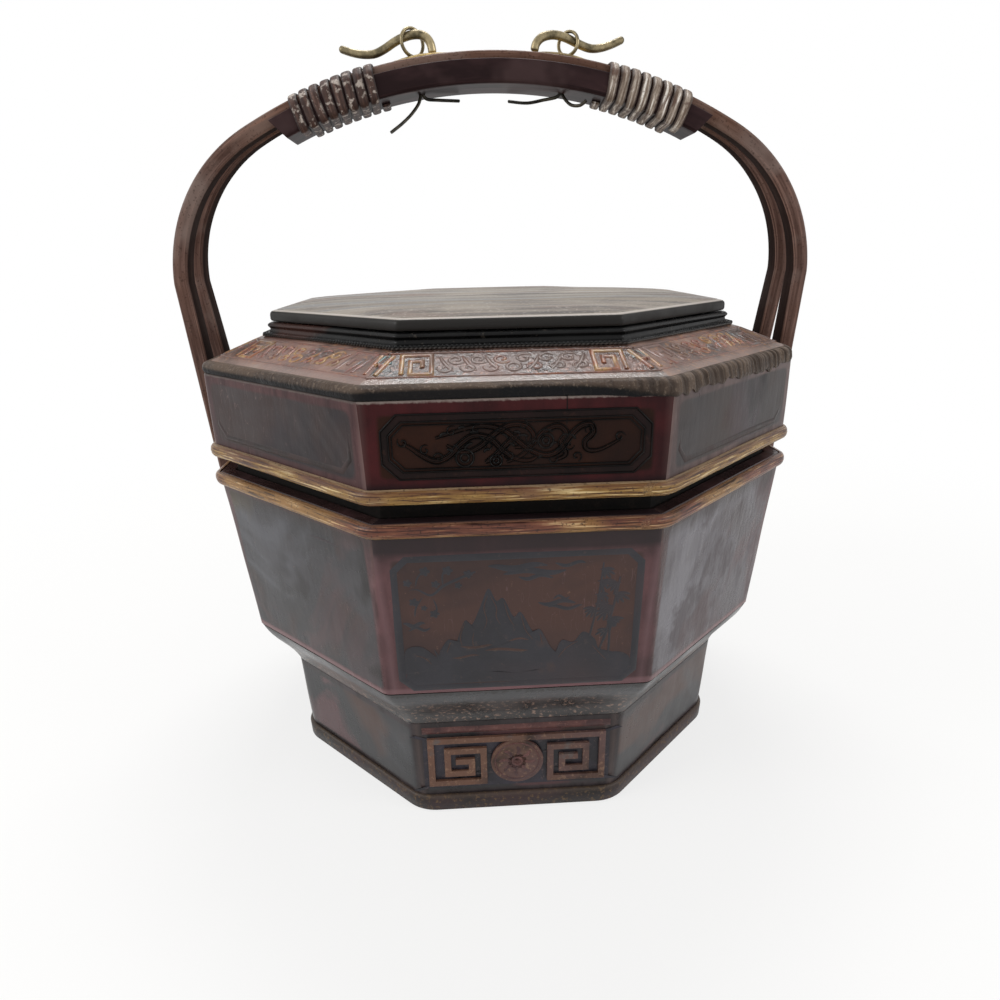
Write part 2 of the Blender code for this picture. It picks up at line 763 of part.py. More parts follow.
def eye_path(hand):
    """Middle line of the split pin, out along its turned plane and up from the bars' tops."""
    half_split, radius = wire_spacing / 2, eye_radius[hand]
    flare = math.asin(half_split / radius)
    ring_height = eye_stand + radius * math.cos(flare)
    exit_height = -grip_drop - seat_gap
    ends = []
    for direction, wire in ((-1, inner_wire[hand]), (1, outer_wire[hand])):
        points = ((0, 0), *wire)
        bend = [Vector((direction * (half_split + along), exit_height - down)) for along, down in points]
        ends.append(smooth_path(bend, 3)[1:])
    legs_down = [(-half_split, exit_height), (-half_split, exit_height / 2), (-half_split, eye_stand)]
    loop = []
    steps = 16
    for step in range(1, steps):
        angle = -math.pi / 2 - flare - (2 * math.pi - 2 * flare) * step / steps
        loop.append((radius * math.cos(angle), ring_height + radius * math.sin(angle)))
    legs_up = [(-across, out) for across, out in reversed(legs_down)]
    straight = [Vector(point) for point in legs_down + loop + legs_up]
    return ends[0][::-1] + straight + ends[1]


def smooth_path(points, steps):
    """A smooth curve through chosen points."""
    path = []
    for index in range(len(points) - 1):
        before = points[max(index - 1, 0)]
        start, end = points[index], points[index + 1]
        after = points[min(index + 2, len(points) - 1)]
        for step in range(steps):
            t = step / steps
            straight = 2 * start + (end - before) * t
            curve = (2 * before - 5 * start + 4 * end - after) * t ** 2
            twist = (3 * start - before - 3 * end + after) * t ** 3
            path.append((straight + curve + twist) / 2)
    return path + [points[-1]]


def turned_axes(side, turn):
    """An eye's foot, its turned direction out along the arch, the arch's normal, and square to both."""
    base, normal = arch_frame(side * eye_place)
    out = Vector((normal.z, 0, -normal.x)) * side
    out = math.cos(turn) * out + math.sin(turn) * Vector((0, 1, 0))
    return base, out, normal, normal.cross(out)


def build_eyes(brass):
    for hand, side in hands.items():
        base, out, normal, across = turned_axes(side, eye_turn)
        path = eye_path(hand)
        loops = []
        for index, point in enumerate(path):
            before = (point - path[index - 1]).normalized() if index else None
            after = (path[index + 1] - point).normalized() if index + 1 < len(path) else None
            step = ((before or after) + (after or before)).normalized()
            mitre = step.dot(after or before)
            thick = Vector((-step.y, step.x)) * wire_thickness / 2 / mitre
            loop = []
            for along, wide in ((1, 1), (1, -1), (-1, -1), (-1, 1)):
                spot = point + along * thick
                loop.append(base + out * spot.x + normal * spot.y + across * wide * wire_width / 2)
            loops.append(loop)
        skin(f"eye_pin_{hand}", loops, brass, smooth_angle=math.radians(60))


def hook_stations(line):
    """Points and half widths along a swan hook, each end closed in a short rounded nose."""
    path = smooth_path([Vector(point) for point in line], 2)
    taper = (hook_radius - hook_tip_radius) / len(path) ** 2
    widths = [hook_radius - taper * index ** 2 for index in range(len(path))]
    back = (path[0] - path[1]).normalized() * hook_radius
    ahead = (path[-1] - path[-2]).normalized() * hook_tip_radius
    tail = [(path[0] + back * reach, widths[0] * size) for size, reach in nose_shares]
    tip = [(path[-1] + ahead * reach, widths[-1] * size) for size, reach in reversed(nose_shares)]
    return tail + list(zip(path, widths)) + tip


def build_hooks(brass):
    """Swan hooks of tapering rod, threaded through the eyes, each turning about its eye's upright."""
    sides = 8
    for hand, side in hands.items():
        base, out, normal, across = turned_axes(side, hook_turn[hand])
        stations = hook_stations(hook_line[hand])
        loops = []
        for index, (point, width) in enumerate(stations):
            before = stations[max(index - 1, 0)][0]
            after = stations[min(index + 1, len(stations) - 1)][0]
            step = (after - before).normalized()
            rise = Vector((-step.y, step.x))
            loop = []
            for corner in range(sides):
                angle = 2 * math.pi * corner / sides
                spot = point + rise * width * math.cos(angle)
                loop.append(out * spot.x + normal * spot.y + across * width * math.sin(angle))
            loops.append(loop)
        hook = skin(f"hook_{hand}", loops, brass, smooth_angle=math.radians(60))
        hook.location = base


def build_basket():
    clear_scene()
    board = lacquer("black_red_lacquer", (0.035, 0.017, 0.016), 0.35)
    rim_band = lacquer("brown_lacquer", (0.075, 0.040, 0.026), 0.45)
    moulding = lacquer("dark_moulding_lacquer", (0.050, 0.035, 0.030), 0.40)
    gilt = lacquer("worn_gilt_lacquer", (0.190, 0.085, 0.048), 0.50)
    cane = lacquer("ochre_cane", (0.300, 0.165, 0.060), 0.50)
    inner = lacquer("plain_dark_wood", (0.020, 0.014, 0.012), 0.60)
    top = lacquer("worn_top_lacquer", (0.120, 0.100, 0.090), 0.50)
    bamboo = lacquer("lacquered_bamboo", (0.090, 0.030, 0.022), 0.35)
    plum = lacquer("dark_plum_lacquer", (0.038, 0.026, 0.028), 0.35)
    rattan = lacquer("grey_rattan", (0.430, 0.390, 0.340), 0.70)
    brass = lacquer("aged_brass", (0.330, 0.240, 0.110), 0.40, 0.9)
    build_foot(board, rim_band)
    build_foot_frets(gilt)
    boards = build_body(board, moulding, cane, inner)
    build_lid(board, cane, moulding, inner)
    bars = build_bars(bamboo)
    grip = build_grip(plum)
    build_lashings(rattan)
    build_pegs(bamboo, bars, boards)
    build_plates(brass, grip)
    build_eyes(brass)
    build_hooks(brass)


build_basket()
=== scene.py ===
import math

import bpy
import numpy as np
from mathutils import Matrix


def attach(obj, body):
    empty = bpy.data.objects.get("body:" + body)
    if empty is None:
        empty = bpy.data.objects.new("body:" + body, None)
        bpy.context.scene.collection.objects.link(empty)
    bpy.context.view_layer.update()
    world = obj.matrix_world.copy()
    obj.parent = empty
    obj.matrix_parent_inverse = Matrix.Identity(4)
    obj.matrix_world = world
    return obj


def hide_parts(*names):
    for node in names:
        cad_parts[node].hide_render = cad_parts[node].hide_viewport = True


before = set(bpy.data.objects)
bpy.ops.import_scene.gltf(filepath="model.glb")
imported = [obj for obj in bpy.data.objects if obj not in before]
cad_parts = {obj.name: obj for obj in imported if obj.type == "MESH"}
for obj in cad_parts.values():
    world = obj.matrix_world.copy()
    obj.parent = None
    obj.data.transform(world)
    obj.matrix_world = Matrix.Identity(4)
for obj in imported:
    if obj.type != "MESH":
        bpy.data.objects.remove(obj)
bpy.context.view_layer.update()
print("frame loaded:", len(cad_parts), "nodes")


# Small tools

def linear(colour):
    # sRGB hex to linear red, green, blue and a full alpha
    value = np.array([int(colour[i:i + 2], 16) for i in (1, 3, 5)]) / 255
    value = np.where(value > 0.04045, ((value + 0.055) / 1.055) ** 2.4, value / 12.92)
    return (*value.tolist(), 1.0)


def addNode(tree, kind, inputs=(), **settings):
    # one node, its settings, and its sockets set to values or linked to other sockets; gives its outputs
    node = tree.nodes.new("ShaderNode" + kind)
    for name, value in settings.items():
        setattr(node, name, value)
    for socket, value in inputs.items() if isinstance(inputs, dict) else enumerate(inputs):
        if isinstance(value, bpy.types.NodeSocket):
            tree.links.new(value, node.inputs[socket])
        else:
            node.inputs[socket].default_value = value
    return node.outputs


def startMaterial(name, roughness, level=0.5, metallic=0.0):
    material = bpy.data.materials.new(name)
    material.use_nodes = True
    shader = material.node_tree.nodes["Principled BSDF"]
    shader.inputs["Roughness"].default_value = roughness
    shader.inputs["Metallic"].default_value = metallic
    shader.inputs["Specular IOR Level"].default_value = level
    return material, material.node_tree


def unit(ways):
    # each way made one long
    return ways / np.linalg.norm(ways, axis=-1, keepdims=True)


def leftOf(ways):
    # flat ways turned a quarter to the left
    return np.stack((-ways[..., 1], ways[..., 0]), -1)


def beam(angle):
    # unit ways in the plane at these angles
    return np.stack((np.cos(angle), np.sin(angle)), -1)


def roundTurn(count):
    return np.linspace(0, 2 * np.pi, count, endpoint=False)


def together(*values):
    # rows and columns of numbers brought to one shape and set side by side as points
    return np.stack(np.broadcast_arrays(*values), -1)


def gridFaces(rows, columns, closeRows, closeColumns):
    # quads between each point of the grid and its three neighbours
    i = np.arange(rows if closeRows else rows - 1)[:, None]
    j = np.arange(columns if closeColumns else columns - 1)[None, :]
    down, across = (i + 1) % rows, (j + 1) % columns
    corners = (i * columns + j, i * columns + across, down * columns + across, down * columns + j)
    return together(*corners).reshape(-1, 4)


def makePiece(name, shells, coat, body, smooth=40):
    # Shells are dictionaries: grid (rows, columns, 3), closed round its columns, and either a ring or
    # capped by a fan to the middle of its end rows; lay is where a point lies, for the finish.
    points, quads, fans, lays, count = [], [], [], [], 0
    for shell in shells:
        grid = shell["grid"]
        rows, columns = grid.shape[:2]
        spots = grid.reshape(-1, 3)
        lay = shell.get("lay", np.zeros_like(grid)).reshape(-1, 3)
        faces = gridFaces(rows, columns, shell.get("ring", False), True)
        ends = np.zeros((0, 3), int)
        if not shell.get("ring", False):
            j = np.arange(columns)
            following = (j + 1) % columns
            last = (rows - 1) * columns
            first = np.stack((np.full(columns, len(spots)), following, j), -1)
            second = np.stack((np.full(columns, len(spots) + 1), last + j, last + following), -1)
            ends = np.concatenate((first, second))
            spots = np.concatenate((spots, grid[[0, -1]].mean(axis=1)))
            lay = np.concatenate((lay, lay.reshape(rows, columns, 3)[[0, -1]].mean(axis=1)))
        triangles = np.concatenate((faces[:, [0, 1, 2]], faces[:, [0, 2, 3]], ends))
        a, b, c = (spots[triangles[:, k]] for k in range(3))
        if np.einsum("ij,ij->i", a, np.cross(b, c)).sum() < 0:  # inside out
            faces, ends = faces[:, ::-1], ends[:, ::-1]
        points.append(spots), lays.append(lay)
        quads.append(faces + count), fans.append(ends + count)
        count += len(spots)
    mesh = bpy.data.meshes.new(name)
    faces = np.concatenate(quads).tolist() + np.concatenate(fans).tolist()
    mesh.from_pydata(np.concatenate(points).tolist(), [], faces)
    attribute = mesh.attributes.new("lay", "FLOAT_VECTOR", "POINT")
    attribute.data.foreach_set("vector", np.concatenate(lays).astype(np.float32).ravel())
    mesh.shade_smooth()
    mesh.set_sharp_from_angle(angle=math.radians(smooth))
    mesh.materials.append(finish[coat])
    piece = bpy.data.objects.new(name, mesh)
    bpy.context.collection.objects.link(piece)
    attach(piece, body)
    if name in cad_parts:
        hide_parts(name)


def ripple(where, length, count, seed, closed=True):
    # a smooth wandering value round 0, a sum of sines with whole numbers of waves in the length
    dice = np.random.default_rng(seed)
    waves = dice.integers(1, count, 9)
    if not closed:
        waves = waves + dice.random(9)
    phases = dice.random(9) * 2 * np.pi
    strengths = 1 / np.sqrt(waves)
    angles = where[..., None] / length * 2 * np.pi * waves + phases
    return (np.sin(angles) * strengths).sum(-1) / strengths.sum()


def smoothLine(points, steps):
    # Catmull-Rom curve through the points
    points = np.asarray(points, float)
    padded = np.concatenate((points[:1], points, points[-1:]))
    before, start, end, after = padded[:-3, None], padded[1:-2, None], padded[2:-1, None], padded[3:, None]
    t = (np.arange(steps) / steps)[None, :, None]
    line = 2 * start + (end - before) * t
    line = line + (2 * before - 5 * start + 4 * end - after) * t ** 2
    line = line + (3 * start - before - 3 * end + after) * t ** 3
    return np.concatenate(((line / 2).reshape(-1, points.shape[1]), points[-1:]))


# The basket's levels: reach of the flat faces, half width of the front face as a share of it, height
levels = {
    "footLow": (0.1099, 0.414, 0.0), "footHigh": (0.1119, 0.439, 0.0505),
    "bodyLow": (0.1271, 0.449, 0.0760), "bodyHigh": (0.1368, 0.411, 0.1580),
    "lidLow": (0.1368, 0.411, 0.1658), "lidHigh": (0.1368, 0.422, 0.2050),
    "shoulderLow": (0.1333, 0.424, 0.2105), "shoulderHigh": (0.1100, 0.410, 0.2199),
    "topEdge": (0.1074, 0.410, 0.2261),
}
levels = {name: np.array((reach, reach * share, height)) for name, (reach, share, height) in levels.items()}
tanHalf, cosHalf = math.tan(math.pi / 8), math.cos(math.pi / 8)
sideNames = ("front", "front_right", "right", "back_right", "back", "back_left", "left", "front_left")


def inward(level, distance):
    # the level moved in square to every face
    return np.array((level[0] - distance, level[1] - distance * tanHalf, level[2]))


def levelAt(low, high, height):
    share = (height - low[2]) / (high[2] - low[2])
    return low + (high - low) * share


def octagonLoop(level, radius, flatSteps, arcSteps):
    # Round an octagon from its front right corner: an arc at each corner, then a straight run.
    reach, face, height = level
    index = np.arange(8)
    turn = (index // 2) * np.pi / 2
    x, y = np.where(index % 2, reach, face), np.where(index % 2, -face, -reach)
    corner = np.stack((x * np.cos(turn) - y * np.sin(turn), x * np.sin(turn) + y * np.cos(turn)), -1)
    middle = (index - 1.5) * np.pi / 4
    centre = corner - radius / cosHalf * beam(middle)
    angle = middle[:, None] + np.linspace(-np.pi / 8, np.pi / 8, arcSteps)
    arcs = centre[:, None] + radius * beam(angle)
    share = ((np.arange(flatSteps) + 1) / (flatSteps + 1))[None, :, None]
    flats = arcs[:, -1:] * (1 - share) + np.roll(arcs[:, :1], -1, axis=0) * share
    loop = np.concatenate((arcs, flats), axis=1).reshape(-1, 2)
    return np.concatenate((loop, np.full((len(loop), 1), height)), axis=1)


def loopNormals(loop):
    # outward and level, square to the way between a point's neighbours
    way = np.roll(loop, -1, axis=0) - np.roll(loop, 1, axis=0)
    out = np.stack((way[:, 1], -way[:, 0], np.zeros(len(loop))), -1)
    return unit(out)


def runLength(loop):
    steps = np.linalg.norm(np.roll(loop, -1, axis=0) - loop, axis=1)
    return np.concatenate(((0,), np.cumsum(steps)[:-1])), steps.sum()


def faceFrame(side, low, high):
    # middle of a face between two levels, with unit ways along it, up it and out of it
    turn = sideNames.index(side) * np.pi / 4 - np.pi / 2
    outward = np.array((math.cos(turn), math.sin(turn), 0))
    along = np.array((-math.sin(turn), math.cos(turn), 0))
    up = outward * (high[0] - low[0]) + np.array((0, 0, high[2] - low[2]))
    length = np.linalg.norm(up)
    middle = outward * (low[0] + high[0]) / 2 + np.array((0, 0, (low[2] + high[2]) / 2))
    up = up / length
    return {"middle": middle, "along": along, "up": up, "out": np.cross(along, up)}


def onFace(face, flat, out):
    # flat points (n, 2) and heights over the face, put where the face is
    return (face["middle"] + flat[..., :1] * face["along"] + flat[..., 1:2] * face["up"]
            + np.asarray(out)[..., None] * face["out"])


def raisedLine(face, path, halfWidth, rise, paint=0.0, closed=False, taper=0.0):
    # A half-round strip along a flat path, mitred at its bends; taper draws its ends to points.
    path = np.asarray(path, float)
    if closed:
        before, after = path - np.roll(path, 1, axis=0), np.roll(path, -1, axis=0) - path
    else:
        step = np.diff(path, axis=0)
        before, after = np.concatenate((step[:1], step)), np.concatenate((step, step[-1:]))
    before, after = unit(before), unit(after)
    way = unit(before + after)
    side = leftOf(way)
    stretch = 1 / np.clip((way * before).sum(1), 0.62, 1)
    t = np.linspace(0, 1, len(path))
    size = 1 - taper * np.abs(2 * t - 1) ** 3
    across = np.array((-1, -0.72, 0, 0.72, 1, 0))
    over = np.array((-0.25, 0.72, 1, 0.72, -0.25, -0.3))
    offset = side[:, None] * (across[None, :, None] * halfWidth * (size * stretch)[:, None, None])
    heights = rise * over[None, :] * size[:, None]
    grid = onFace(face, path[:, None] + offset, heights)
    lay = together(t[:, None], across[None, :], paint)
    return {"grid": grid, "ring": closed, "lay": lay}


def beside(path, distance):
    # the path moved sideways, square to its way
    return path + leftOf(unit(np.gradient(path, axis=0))) * np.asarray(distance)[..., None]


def raisedPatch(face, centre, outline, rise, paint=0.0, crown=4):
    # A low cushion inside a closed outline: points on rays from the centre, height 1 - share^crown.
    shares = np.array((0.02, 0.35, 0.6, 0.8, 0.92, 1.0, 1.0, 0.02))
    heights = np.concatenate((rise * (1 - shares[:6] ** crown), (-0.3 * rise, -0.3 * rise)))
    heights[5] = 0.15 * rise
    centre = np.asarray(centre, float)
    flat = centre + (outline - centre)[None] * shares[:, None, None]
    grid = onFace(face, flat, np.broadcast_to(heights[:, None], flat.shape[:2]))
    lay = together(shares[:, None], 0.0, np.full(flat.shape[:2], paint))
    return {"grid": grid, "lay": lay}


def spiral(centre, radius, turns, start, hand, count=26, inner=0.18):
    # radius shrinks evenly with the turn
    t = np.linspace(0, 1, count)
    angle = start + hand * turns * 2 * np.pi * t
    size = radius * (1 - (1 - inner) * t)
    return np.stack((centre[0] + size * np.cos(angle), centre[1] + size * np.sin(angle)), -1)


# Finishes. A layer is a noise or a place, the values between which it comes in, its strength and its
# colour; where start is above stop it comes in downwards.

noiseSockets = ("Vector", "Scale", "Detail", "Roughness", "Distortion")


def overPaint(tree, paint, noises, layers):
    for noise, start, stop, most, colour in layers:
        span = {"Value": noises[noise], "From Min": start, "From Max": stop, "To Max": most}
        share = addNode(tree, "MapRange", span)[0]
        paint = addNode(tree, "Mix", {0: share, 6: paint, 7: linear(colour)}, data_type="RGBA")[2]
    return paint


def setSurface(material, paint, relief, gloss=None):
    # relief is a height, a strength and a depth in metres; gloss is a noise, the values between which
    # it runs, and the roughness at each
    tree = material.node_tree
    shader = tree.nodes["Principled BSDF"]
    tree.links.new(paint, shader.inputs["Base Color"])
    height, strength, depth = relief
    bump = addNode(tree, "Bump", {"Height": height, "Strength": strength, "Distance": depth})
    tree.links.new(bump[0], shader.inputs["Normal"])
    if gloss:
        span = dict(zip(("Value", "From Min", "From Max", "To Min", "To Max"), gloss))
        tree.links.new(addNode(tree, "MapRange", span)[0], shader.inputs["Roughness"])
    return material


def cornerGap(tree, x, y):
    # How far round a point lies from the octagon's nearest corner: 0 there, 0.5 in the middle of a face
    angle = addNode(tree, "Math", (y, x), operation="ARCTAN2")[0]
    share = addNode(tree, "Math", (angle, 4 / math.pi, 8.0), operation="MULTIPLY_ADD")[0]
    part = addNode(tree, "Math", (share,), operation="FRACT")[0]
    apart = addNode(tree, "Math", (part, 0.5), operation="SUBTRACT")[0]
    return addNode(tree, "Math", (apart,), operation="ABSOLUTE")[0]


def lacquerBoards(name, look):
    # Urushi lacquer over wood, brushed in layers and rubbed by use: smooth and fairly glossy, a darker
    # field inside a worn red stile, with cloudy patches, fine scratches and specks of lost top coat; on
    # the body some patches are painted reflection and painted shade.
    material, tree = startMaterial(name, look["roughness"], look["level"])
    place = addNode(tree, "TexCoord")["Object"]
    x, y, z = addNode(tree, "SeparateXYZ", (place,))
    tall = addNode(tree, "Mapping", {"Vector": place, "Scale": (1.0, 1.0, 0.22)})[0]
    slantLook = {"Vector": place, "Rotation": (0.9, 1.0, 0.5), "Scale": (1.0, 1.0, 0.14)}
    slant = addNode(tree, "Mapping", slantLook)[0]
    awayLook = {"Vector": place, "Location": (0.31, 0.12, 0.27), "Rotation": (0.4, 0.2, 0.9)}
    away = addNode(tree, "Mapping", awayLook)[0]
    grains = {
        "cloud": (place, 26, 5, 0.6), "broad": (place, 13, 3, 0.55, 0.6), "fine": (place, 520, 3, 0.7),
        "streak": (tall, 170, 4), "scratch": (slant, 240, 2), "drift": (away, 11, 4, 0.6, 1.0),
    }
    noises = {key: addNode(tree, "TexNoise", dict(zip(noiseSockets, grain)))[0] for key, grain in grains.items()}
    cloud, fine, streak = noises["cloud"], noises["fine"], noises["streak"]
    lift = addNode(tree, "Math", (z, x), operation="SUBTRACT")[0]
    # highest at the upper left of the boards: the place of a painted reflection, an olive patch
    noises["paintedReflectionSpot"] = addNode(tree, "Math", (cloud, 0.06, lift), operation="MULTIPLY_ADD")[0]
    noises["height"] = addNode(tree, "Math", (cloud, 0.004, z), operation="MULTIPLY_ADD")[0]
    noises["crest"] = addNode(tree, "Math", (fine, 0.0016, z), operation="MULTIPLY_ADD")[0]
    # distance in from the stile, and from the top and bottom rails, in metres
    gap = addNode(tree, "Math", (cornerGap(tree, x, y), look["faceArc"]), operation="MULTIPLY")[0]
    low = addNode(tree, "Math", (z, look["rails"][0]), operation="SUBTRACT")[0]
    high = addNode(tree, "Math", (look["rails"][1], z), operation="SUBTRACT")[0]
    rail = addNode(tree, "Math", (low, high), operation="MINIMUM")[0]
    inside = addNode(tree, "Math", (gap, look["stile"]), operation="SUBTRACT")[0]
    least = addNode(tree, "Math", (rail, inside, look["cutCorner"]), operation="SMOOTH_MIN")[0]
    depth = addNode(tree, "Math", (cloud, 0.0024, least), operation="MULTIPLY_ADD")[0]
    field = addNode(tree, "MapRange", {"Value": depth, "From Min": 0.0006, "From Max": 0.0018})[0]
    stile = overPaint(tree, linear(look["stileDark"]), noises, (
        ("cloud", 0.36, 0.62, 0.9, look["stilePale"]), ("streak", 0.46, 0.62, look["streaks"], look["stileDark"])))
    ground = overPaint(tree, linear(look["fieldDark"]), noises, (
        ("cloud", 0.36, 0.66, 1.0, look["fieldPale"]), *look["blotches"]))
    paint = addNode(tree, "Mix", {0: field, 6: stile, 7: ground}, data_type="RGBA")[2]
    paint = overPaint(tree, paint, noises, [("fine", 0.66, 0.74, look["flakes"], look["flake"])])
    # a wandering hair line where a scratch crosses, and worn corners
    hair = addNode(tree, "Math", (noises["scratch"], 0.5), operation="SUBTRACT")[0]
    hair = addNode(tree, "Math", (hair,), operation="ABSOLUTE")[0]
    hair = addNode(tree, "MapRange", {"Value": hair, "From Min": 0.0015, "From Max": 0.004, "To Min": 1.0,
        "To Max": 0.0})[0]
    someLook = {"Value": noises["broad"], "From Min": 0.54, "From Max": 0.62, "To Max": look["scratches"]}
    hair = addNode(tree, "Math", (hair, addNode(tree, "MapRange", someLook)[0]), operation="MULTIPLY")[0]
    edgeLook = {"Value": gap, "From Min": 0.0, "From Max": 0.0022, "To Min": look["edge"], "To Max": 0.0}
    edge = addNode(tree, "Math", (addNode(tree, "MapRange", edgeLook)[0], streak), operation="MULTIPLY")[0]
    for share in (hair, edge):
        paint = addNode(tree, "Mix", {0: share, 6: paint, 7: linear(look["scuff"])}, data_type="RGBA")[2]
    # the worn top edge, and bands along the rails
    crest, crestColour = look["crest"]
    paint = overPaint(tree, paint, noises, [("crest", crest, crest + 0.0008, 0.85, crestColour)])
    paint = overPaint(tree, paint, noises, [("height", start + 0.002, stop + 0.002, most, colour)
                                            for start, stop, most, colour in look.get("bands", ())])
    if "crack" in look:
        # a split in the board, wandering a little round one upright line
        wobble = addNode(tree, "Math", (streak, 0.003, x), operation="MULTIPLY_ADD")[0]
        apart = addNode(tree, "Math", (wobble, look["crack"] + 0.0015), operation="SUBTRACT")[0]
        apart = addNode(tree, "Math", (apart,), operation="ABSOLUTE")[0]
        splitLook = {"Value": apart, "From Min": 0.00018, "From Max": 0.00034, "To Min": 0.9, "To Max": 0.0}
        aboveLook = {"Value": z, "From Min": look["crackFoot"], "From Max": look["crackFoot"] + 0.002}
        ends = (addNode(tree, "MapRange", splitLook)[0], addNode(tree, "MapRange", aboveLook)[0])
        split = addNode(tree, "Math", ends, operation="MULTIPLY")[0]
        paint = addNode(tree, "Mix", {0: split, 6: paint, 7: linear("#0d0b0b")}, data_type="RGBA")[2]
    height = addNode(tree, "Math", (fine, 0.25, streak), operation="MULTIPLY_ADD")[0]
    height = addNode(tree, "Math", (cloud, 1.6, height), operation="MULTIPLY_ADD")[0]
    rough = look["roughness"]
    gloss = (cloud, 0.35, 0.65, rough - 0.08, rough + 0.14)
    return setSurface(material, paint, (height, look["bump"], 0.0006), gloss)


def mottledLacquer(name, look):
    # Lacquer with several worn colours showing through one another, as on handled carving; on the bead
    # and the shoulder's front some layers are painted shade and painted highlight
    material, tree = startMaterial(name, look["roughness"], look.get("level", 0.5))
    place = addNode(tree, "TexCoord")["Object"]
    grains = {
        "broad": (place, look["scale"], 4, 0.62), "fine": (place, look["fine"], 3, 0.7),
        "wide": (place, 17, 3, 0.5, 0.5),
    }
    noises = {key: addNode(tree, "TexNoise", dict(zip(noiseSockets, grain)))[0] for key, grain in grains.items()}
    noises["height"] = addNode(tree, "SeparateXYZ", (place,))[2]
    ragged = (noises["fine"], 0.008, noises["height"])
    noises["ragged"] = addNode(tree, "Math", ragged, operation="MULTIPLY_ADD")[0]
    lay = addNode(tree, "Attribute", attribute_name="lay")["Vector"]
    _, noises["lay"], noises["crease"] = addNode(tree, "SeparateXYZ", (lay,))
    paint = overPaint(tree, linear(look["ground"]), noises, look["layers"])
    height = addNode(tree, "Math", (noises["broad"], 1.5, noises["fine"]), operation="MULTIPLY_ADD")[0]
    rough = look["roughness"]
    gloss = (noises["broad"], 0.35, 0.65, rough - 0.07, rough + 0.15)
    return setSurface(material, paint, (height, look["bump"], 0.0006), gloss)


def splitCane(name, look):
    # Split bamboo or rattan: long fibres about 0.3 mm apart run with the strip, drawn here as streaks
    # in the lay attribute (length along, place across, swell at a node), with smoke and dirt in patches;
    # some looks also paint shade and highlight.
    material, tree = startMaterial(name, look["roughness"], look["level"])
    lay = addNode(tree, "Attribute", attribute_name="lay")["Vector"]
    place = addNode(tree, "TexCoord")["Object"]
    along = addNode(tree, "Mapping", {"Vector": lay, "Scale": look["fibre"]})[0]
    grains = {
        "fibre": (along, 1.0, 4, 0.65), "patch": (place, look["patch"], 3, 0.6), "speck": (place, 900, 2, 0.6),
    }
    noises = {key: addNode(tree, "TexNoise", dict(zip(noiseSockets, grain)))[0] for key, grain in grains.items()}
    _, noises["across"], noises["swell"] = addNode(tree, "SeparateXYZ", (lay,))
    paint = overPaint(tree, linear(look["ground"]), noises, look["layers"])
    gloss = None
    if "dull" in look:
        # the face that no hand rubs stays rough
        noise, start, stop = look["dull"]
        gloss = (noises[noise], start, stop, look["roughness"], 1.0)
    return setSurface(material, paint, (noises["fibre"], look["bump"], 0.0005), gloss)


